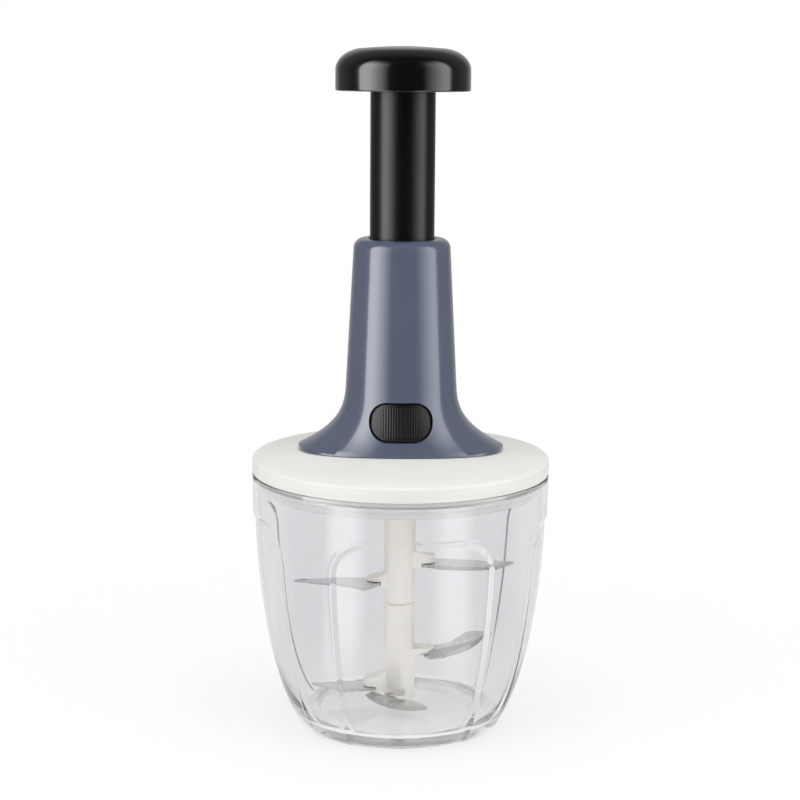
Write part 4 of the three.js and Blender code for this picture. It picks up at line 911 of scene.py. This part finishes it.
def refine_plain_pieces():
    refined("plunger_tube", "tube_black")
    for hub in ("upper_hub", "lower_hub"):
        refined(hub, hub + "_moulded", crease=HUB_CREASE)
    for blade in [name for name in frame["nodes"] if name.startswith("blade_")]:
        refined(blade, blade + "_ground", crease=BLADE_CREASE)
    for inner in ("guide_sleeve", "collar_bush", "clutch_cover", "drive_socket", "drive_dog", "drive_nut",
                  "spring_seat", "twisted_bar", "pivot_pin", "clutch_plate", "retaining_clip", "dog_pin",
                  "latch_tongue"):
        refined(inner, inner + "_smooth")
    for screw in [name for name in frame["nodes"] if "screw" in name]:
        refined(screw, screw + "_turned", bevel=SCREW_EDGE)


# Springs
def coil(radius, wire, curls, bottom, top):
    """A round wire wound up the Z axis."""
    bm = bmesh.new()
    steps = curls * CURL_STEPS
    rise = (top - bottom - 2 * wire) / steps
    rings = []
    for i in range(steps + 1):
        turn = Matrix.Rotation(math.tau * i / CURL_STEPS, 3, "Z")
        middle = bottom + wire + rise * i
        ring = []
        for k in range(WIRE_SIDES):
            angle = math.tau * k / WIRE_SIDES
            point = Vector((radius + wire * math.cos(angle), 0, middle + wire * math.sin(angle)))
            ring.append(bm.verts.new(turn @ point))
        rings.append(ring)
    for lower, upper in zip(rings, rings[1:]):
        for k in range(WIRE_SIDES):
            after = (k + 1) % WIRE_SIDES
            bm.faces.new((lower[k], lower[after], upper[after], upper[k]))
    bm.faces.new(rings[0])
    bm.faces.new(rings[-1])
    return bm


def make_return_spring():
    low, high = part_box("return_spring")
    bottom, top = low.z / MM, high.z / MM
    bm = coil(high.x / MM - RETURN_WIRE, RETURN_WIRE, RETURN_CURLS, bottom, top)
    spring = finished(bm, "return_spring_coil", "return_spring", crease=SOFT_CREASE)
    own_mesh(spring)


def make_button_spring(node):
    low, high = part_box(node)
    middle = (low + high) / 2
    length = (high.y - low.y) / MM
    radius = (high.x - low.x) / (2 * MM) - BUTTON_WIRE
    bm = coil(radius, BUTTON_WIRE, BUTTON_CURLS, 0, length)
    place = Matrix.Translation(Vector((middle.x, high.y, middle.z)) / MM)
    bm.transform(place @ Matrix.Rotation(QUARTER, 4, "X"))
    spring = finished(bm, node + "_coil", node, crease=SOFT_CREASE)
    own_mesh(spring)


# Stage, lights and camera
def ray_kinds(finish):
    """Rays seen, rays mirrored in gloss, light on pieces inside the bowl, and rays through clear ones."""
    through = finish.add("ShaderNodeLightPath", output="Is Transmission Ray")
    seen = finish.add("ShaderNodeLightPath", output="Is Camera Ray").above(through)
    mirrored = finish.add("ShaderNodeLightPath", output="Is Glossy Ray") * (1 - through)
    scattered = finish.add("ShaderNodeLightPath", output="Diffuse Depth")
    inner = scattered.below(1.0) * through
    return seen, mirrored, inner, through


def strip_level(finish, direction, side, fade, edge, level):
    """A strip of light's level in a direction: it fades in over azimuths and ends at an edge."""
    beside = axis_of(finish, direction, "X") * side
    before = axis_of(finish, direction, "Y") * -1.0
    azimuth = beside.math("ARCTAN2", beside, before)
    start, full, last, dark = (math.radians(angle) for angle in (*fade, *edge))
    return finish.ramp(azimuth, start, full) * (1 - finish.ramp(azimuth, last, dark)) * level


def paper_finish():
    """White paper. The camera sees it nearly white, and gloss mirrors only its far part."""
    finish = finish_named("floor_paper")
    coordinates = finish.add("ShaderNodeTexCoord", output="Object")
    length = {"operation": "LENGTH"}
    distance = finish.add("ShaderNodeVectorMath", length, {0: coordinates}, output="Value")
    behind = finish.ramp(axis_of(finish, coordinates, "Y"), *PAPER_BEHIND)
    dark, light = (tone(WHITE, share) for share in PAPER_SHADES)
    fibre = finish.blend(finish.noise(scale=700, detail=3), dark, light)
    paper = finish.add("ShaderNodeBsdfDiffuse", inputs={"Color": fibre})
    seen, mirrored, inner, through = ray_kinds(finish)
    left = strip_level(finish, coordinates, **PAPER_LEFT)
    strips = left + strip_level(finish, coordinates, **PAPER_RIGHT)
    far = finish.ramp(distance, *PAPER_FAR)
    mirror_level = far.between(PAPER_NEAR_LEVEL, behind.between(DARK_LEVEL, PAPER_LEVEL) + strips)
    level = mirrored.between(inner.between(1.0, INNER_LEVEL), mirror_level)
    glow = finish.add("ShaderNodeEmission", inputs={"Color": (*WHITE, 1), "Strength": level})
    near = through.between(*PAPER_WHITE_NEAR)
    share = (seen * finish.ramp(distance, *PAPER_FADE).between(near, 1.0)).above(mirrored)
    mixed = finish.add("ShaderNodeMixShader", inputs={0: share, 1: paper, 2: glow})
    finish.add("ShaderNodeOutputMaterial", inputs={"Surface": mixed})
    return finish.owner


def make_floor():
    bm = bmesh.new()
    bmesh.ops.create_circle(bm, cap_ends=True, segments=ROUND_SEGMENTS, radius=PAPER_RADIUS,
                            matrix=Matrix.Translation((0, 0, -PAPER_DROP)))
    mesh = bpy.data.meshes.new("floor")
    bm.to_mesh(mesh)
    bm.free()
    mesh.materials.append(paper_finish())
    floor = bpy.data.objects.new("floor", mesh)
    bpy.context.scene.collection.objects.link(floor)


def make_world():
    """A white backdrop, an even room that is brighter above, and what gloss mirrors."""
    world = bpy.data.worlds.new("studio")
    bpy.context.scene.world = world
    finish = Finish(world)
    seen, mirrored, inner, through = ray_kinds(finish)
    direction = finish.add("ShaderNodeTexCoord", output="Generated")
    ahead = axis_of(finish, direction, "Y")
    above = axis_of(finish, direction, "Z")
    strips = strip_level(finish, direction, **LEFT_STRIP) + strip_level(finish, direction, **RIGHT_STRIP)
    strips = strips * (1 - finish.ramp(above, *STRIP_TOP))
    sides = finish.ramp(ahead, *SIDES_FROM) * (SIDE_LEVEL - DARK_LEVEL)
    backdrop = finish.ramp(ahead, *BACKDROP_FROM) * (BACKDROP_LEVEL - SIDE_LEVEL)
    gloss = strips + sides + backdrop + DARK_LEVEL
    room = above.above(0.0) * DOME_LEVEL + ROOM_LEVEL
    passing_sides = finish.ramp(ahead, *PASSING_BACKDROP).between(PASSING_SIDE_LEVEL, 1.0)
    passing = through.between(1.0, passing_sides)
    strength = seen.between(mirrored.between(room, gloss), inner.between(passing, INNER_LEVEL))
    background = finish.add("ShaderNodeBackground", inputs={"Color": (*WHITE, 1), "Strength": strength})
    finish.add("ShaderNodeOutputWorld", inputs={"Surface": background})


def add_softbox(name, place, target, width, height, radiance):
    lamp = bpy.data.lights.new(name, "AREA")
    lamp.shape = "RECTANGLE"
    lamp.size = width
    lamp.size_y = height
    lamp.energy = math.pi * width * height * radiance
    box = bpy.data.objects.new(name, lamp)
    box.visible_camera = False
    box.visible_glossy = False
    box.visible_transmission = False
    bpy.context.scene.collection.objects.link(box)
    aim = (Vector(target) - Vector(place)).to_track_quat("-Z", "Y")
    box.matrix_world = Matrix.Translation(place) @ aim.to_matrix().to_4x4()


def add_side_box(name, azimuth, radiance):
    """An upright box beside the object. The azimuth counts from the camera's side to the right."""
    turn = math.radians(azimuth)
    place = (BOX_DISTANCE * math.sin(turn), -BOX_DISTANCE * math.cos(turn), BOX_MIDDLE)
    add_softbox(name, place, (0, 0, BOX_MIDDLE), BOX_WIDTH, BOX_HEIGHT, radiance)


def make_lights():
    add_side_box("left_box", **LEFT_BOX)
    add_side_box("right_box", **RIGHT_BOX)
    add_softbox("top_box", TOP_PLACE, (0, 0, BOX_MIDDLE), *TOP_SIZE, TOP_RADIANCE)


def make_camera():
    camera = bpy.data.cameras.new("photo_view")
    camera.sensor_width = SENSOR_WIDTH
    camera.lens = SENSOR_WIDTH * FOCAL_PIXELS / PHOTO_PIXELS
    camera.clip_start = CLIP_START
    view = bpy.data.objects.new("photo_view", camera)
    bpy.context.scene.collection.objects.link(view)
    pitch = math.radians(90 - CAMERA_TILT)
    roll = math.radians(CAMERA_ROLL)
    turn = Matrix.Rotation(pitch, 4, "X") @ Matrix.Rotation(roll, 4, "Z")
    view.matrix_world = Matrix.Translation(CAMERA_PLACE) @ turn
    bpy.context.scene.camera = view


def dress_cad_nodes():
    """Every CAD node that still shows gets its slot's finish."""
    for node, carried in frame["nodes"].items():
        carried.data.materials.clear()
        carried.data.materials.append(MATERIALS[SLOTS[node]])


bpy.context.scene.view_settings.view_transform = "Standard"
make_camera()
make_world()
make_lights()
make_floor()
dress_cad_nodes()
make_bowl()
make_lid()
make_gasket()
make_handle()
make_button()
make_knob()
make_knob_base()
refine_plain_pieces()
make_return_spring()
for side in ("left", "right"):
    make_button_spring("button_spring_" + side)
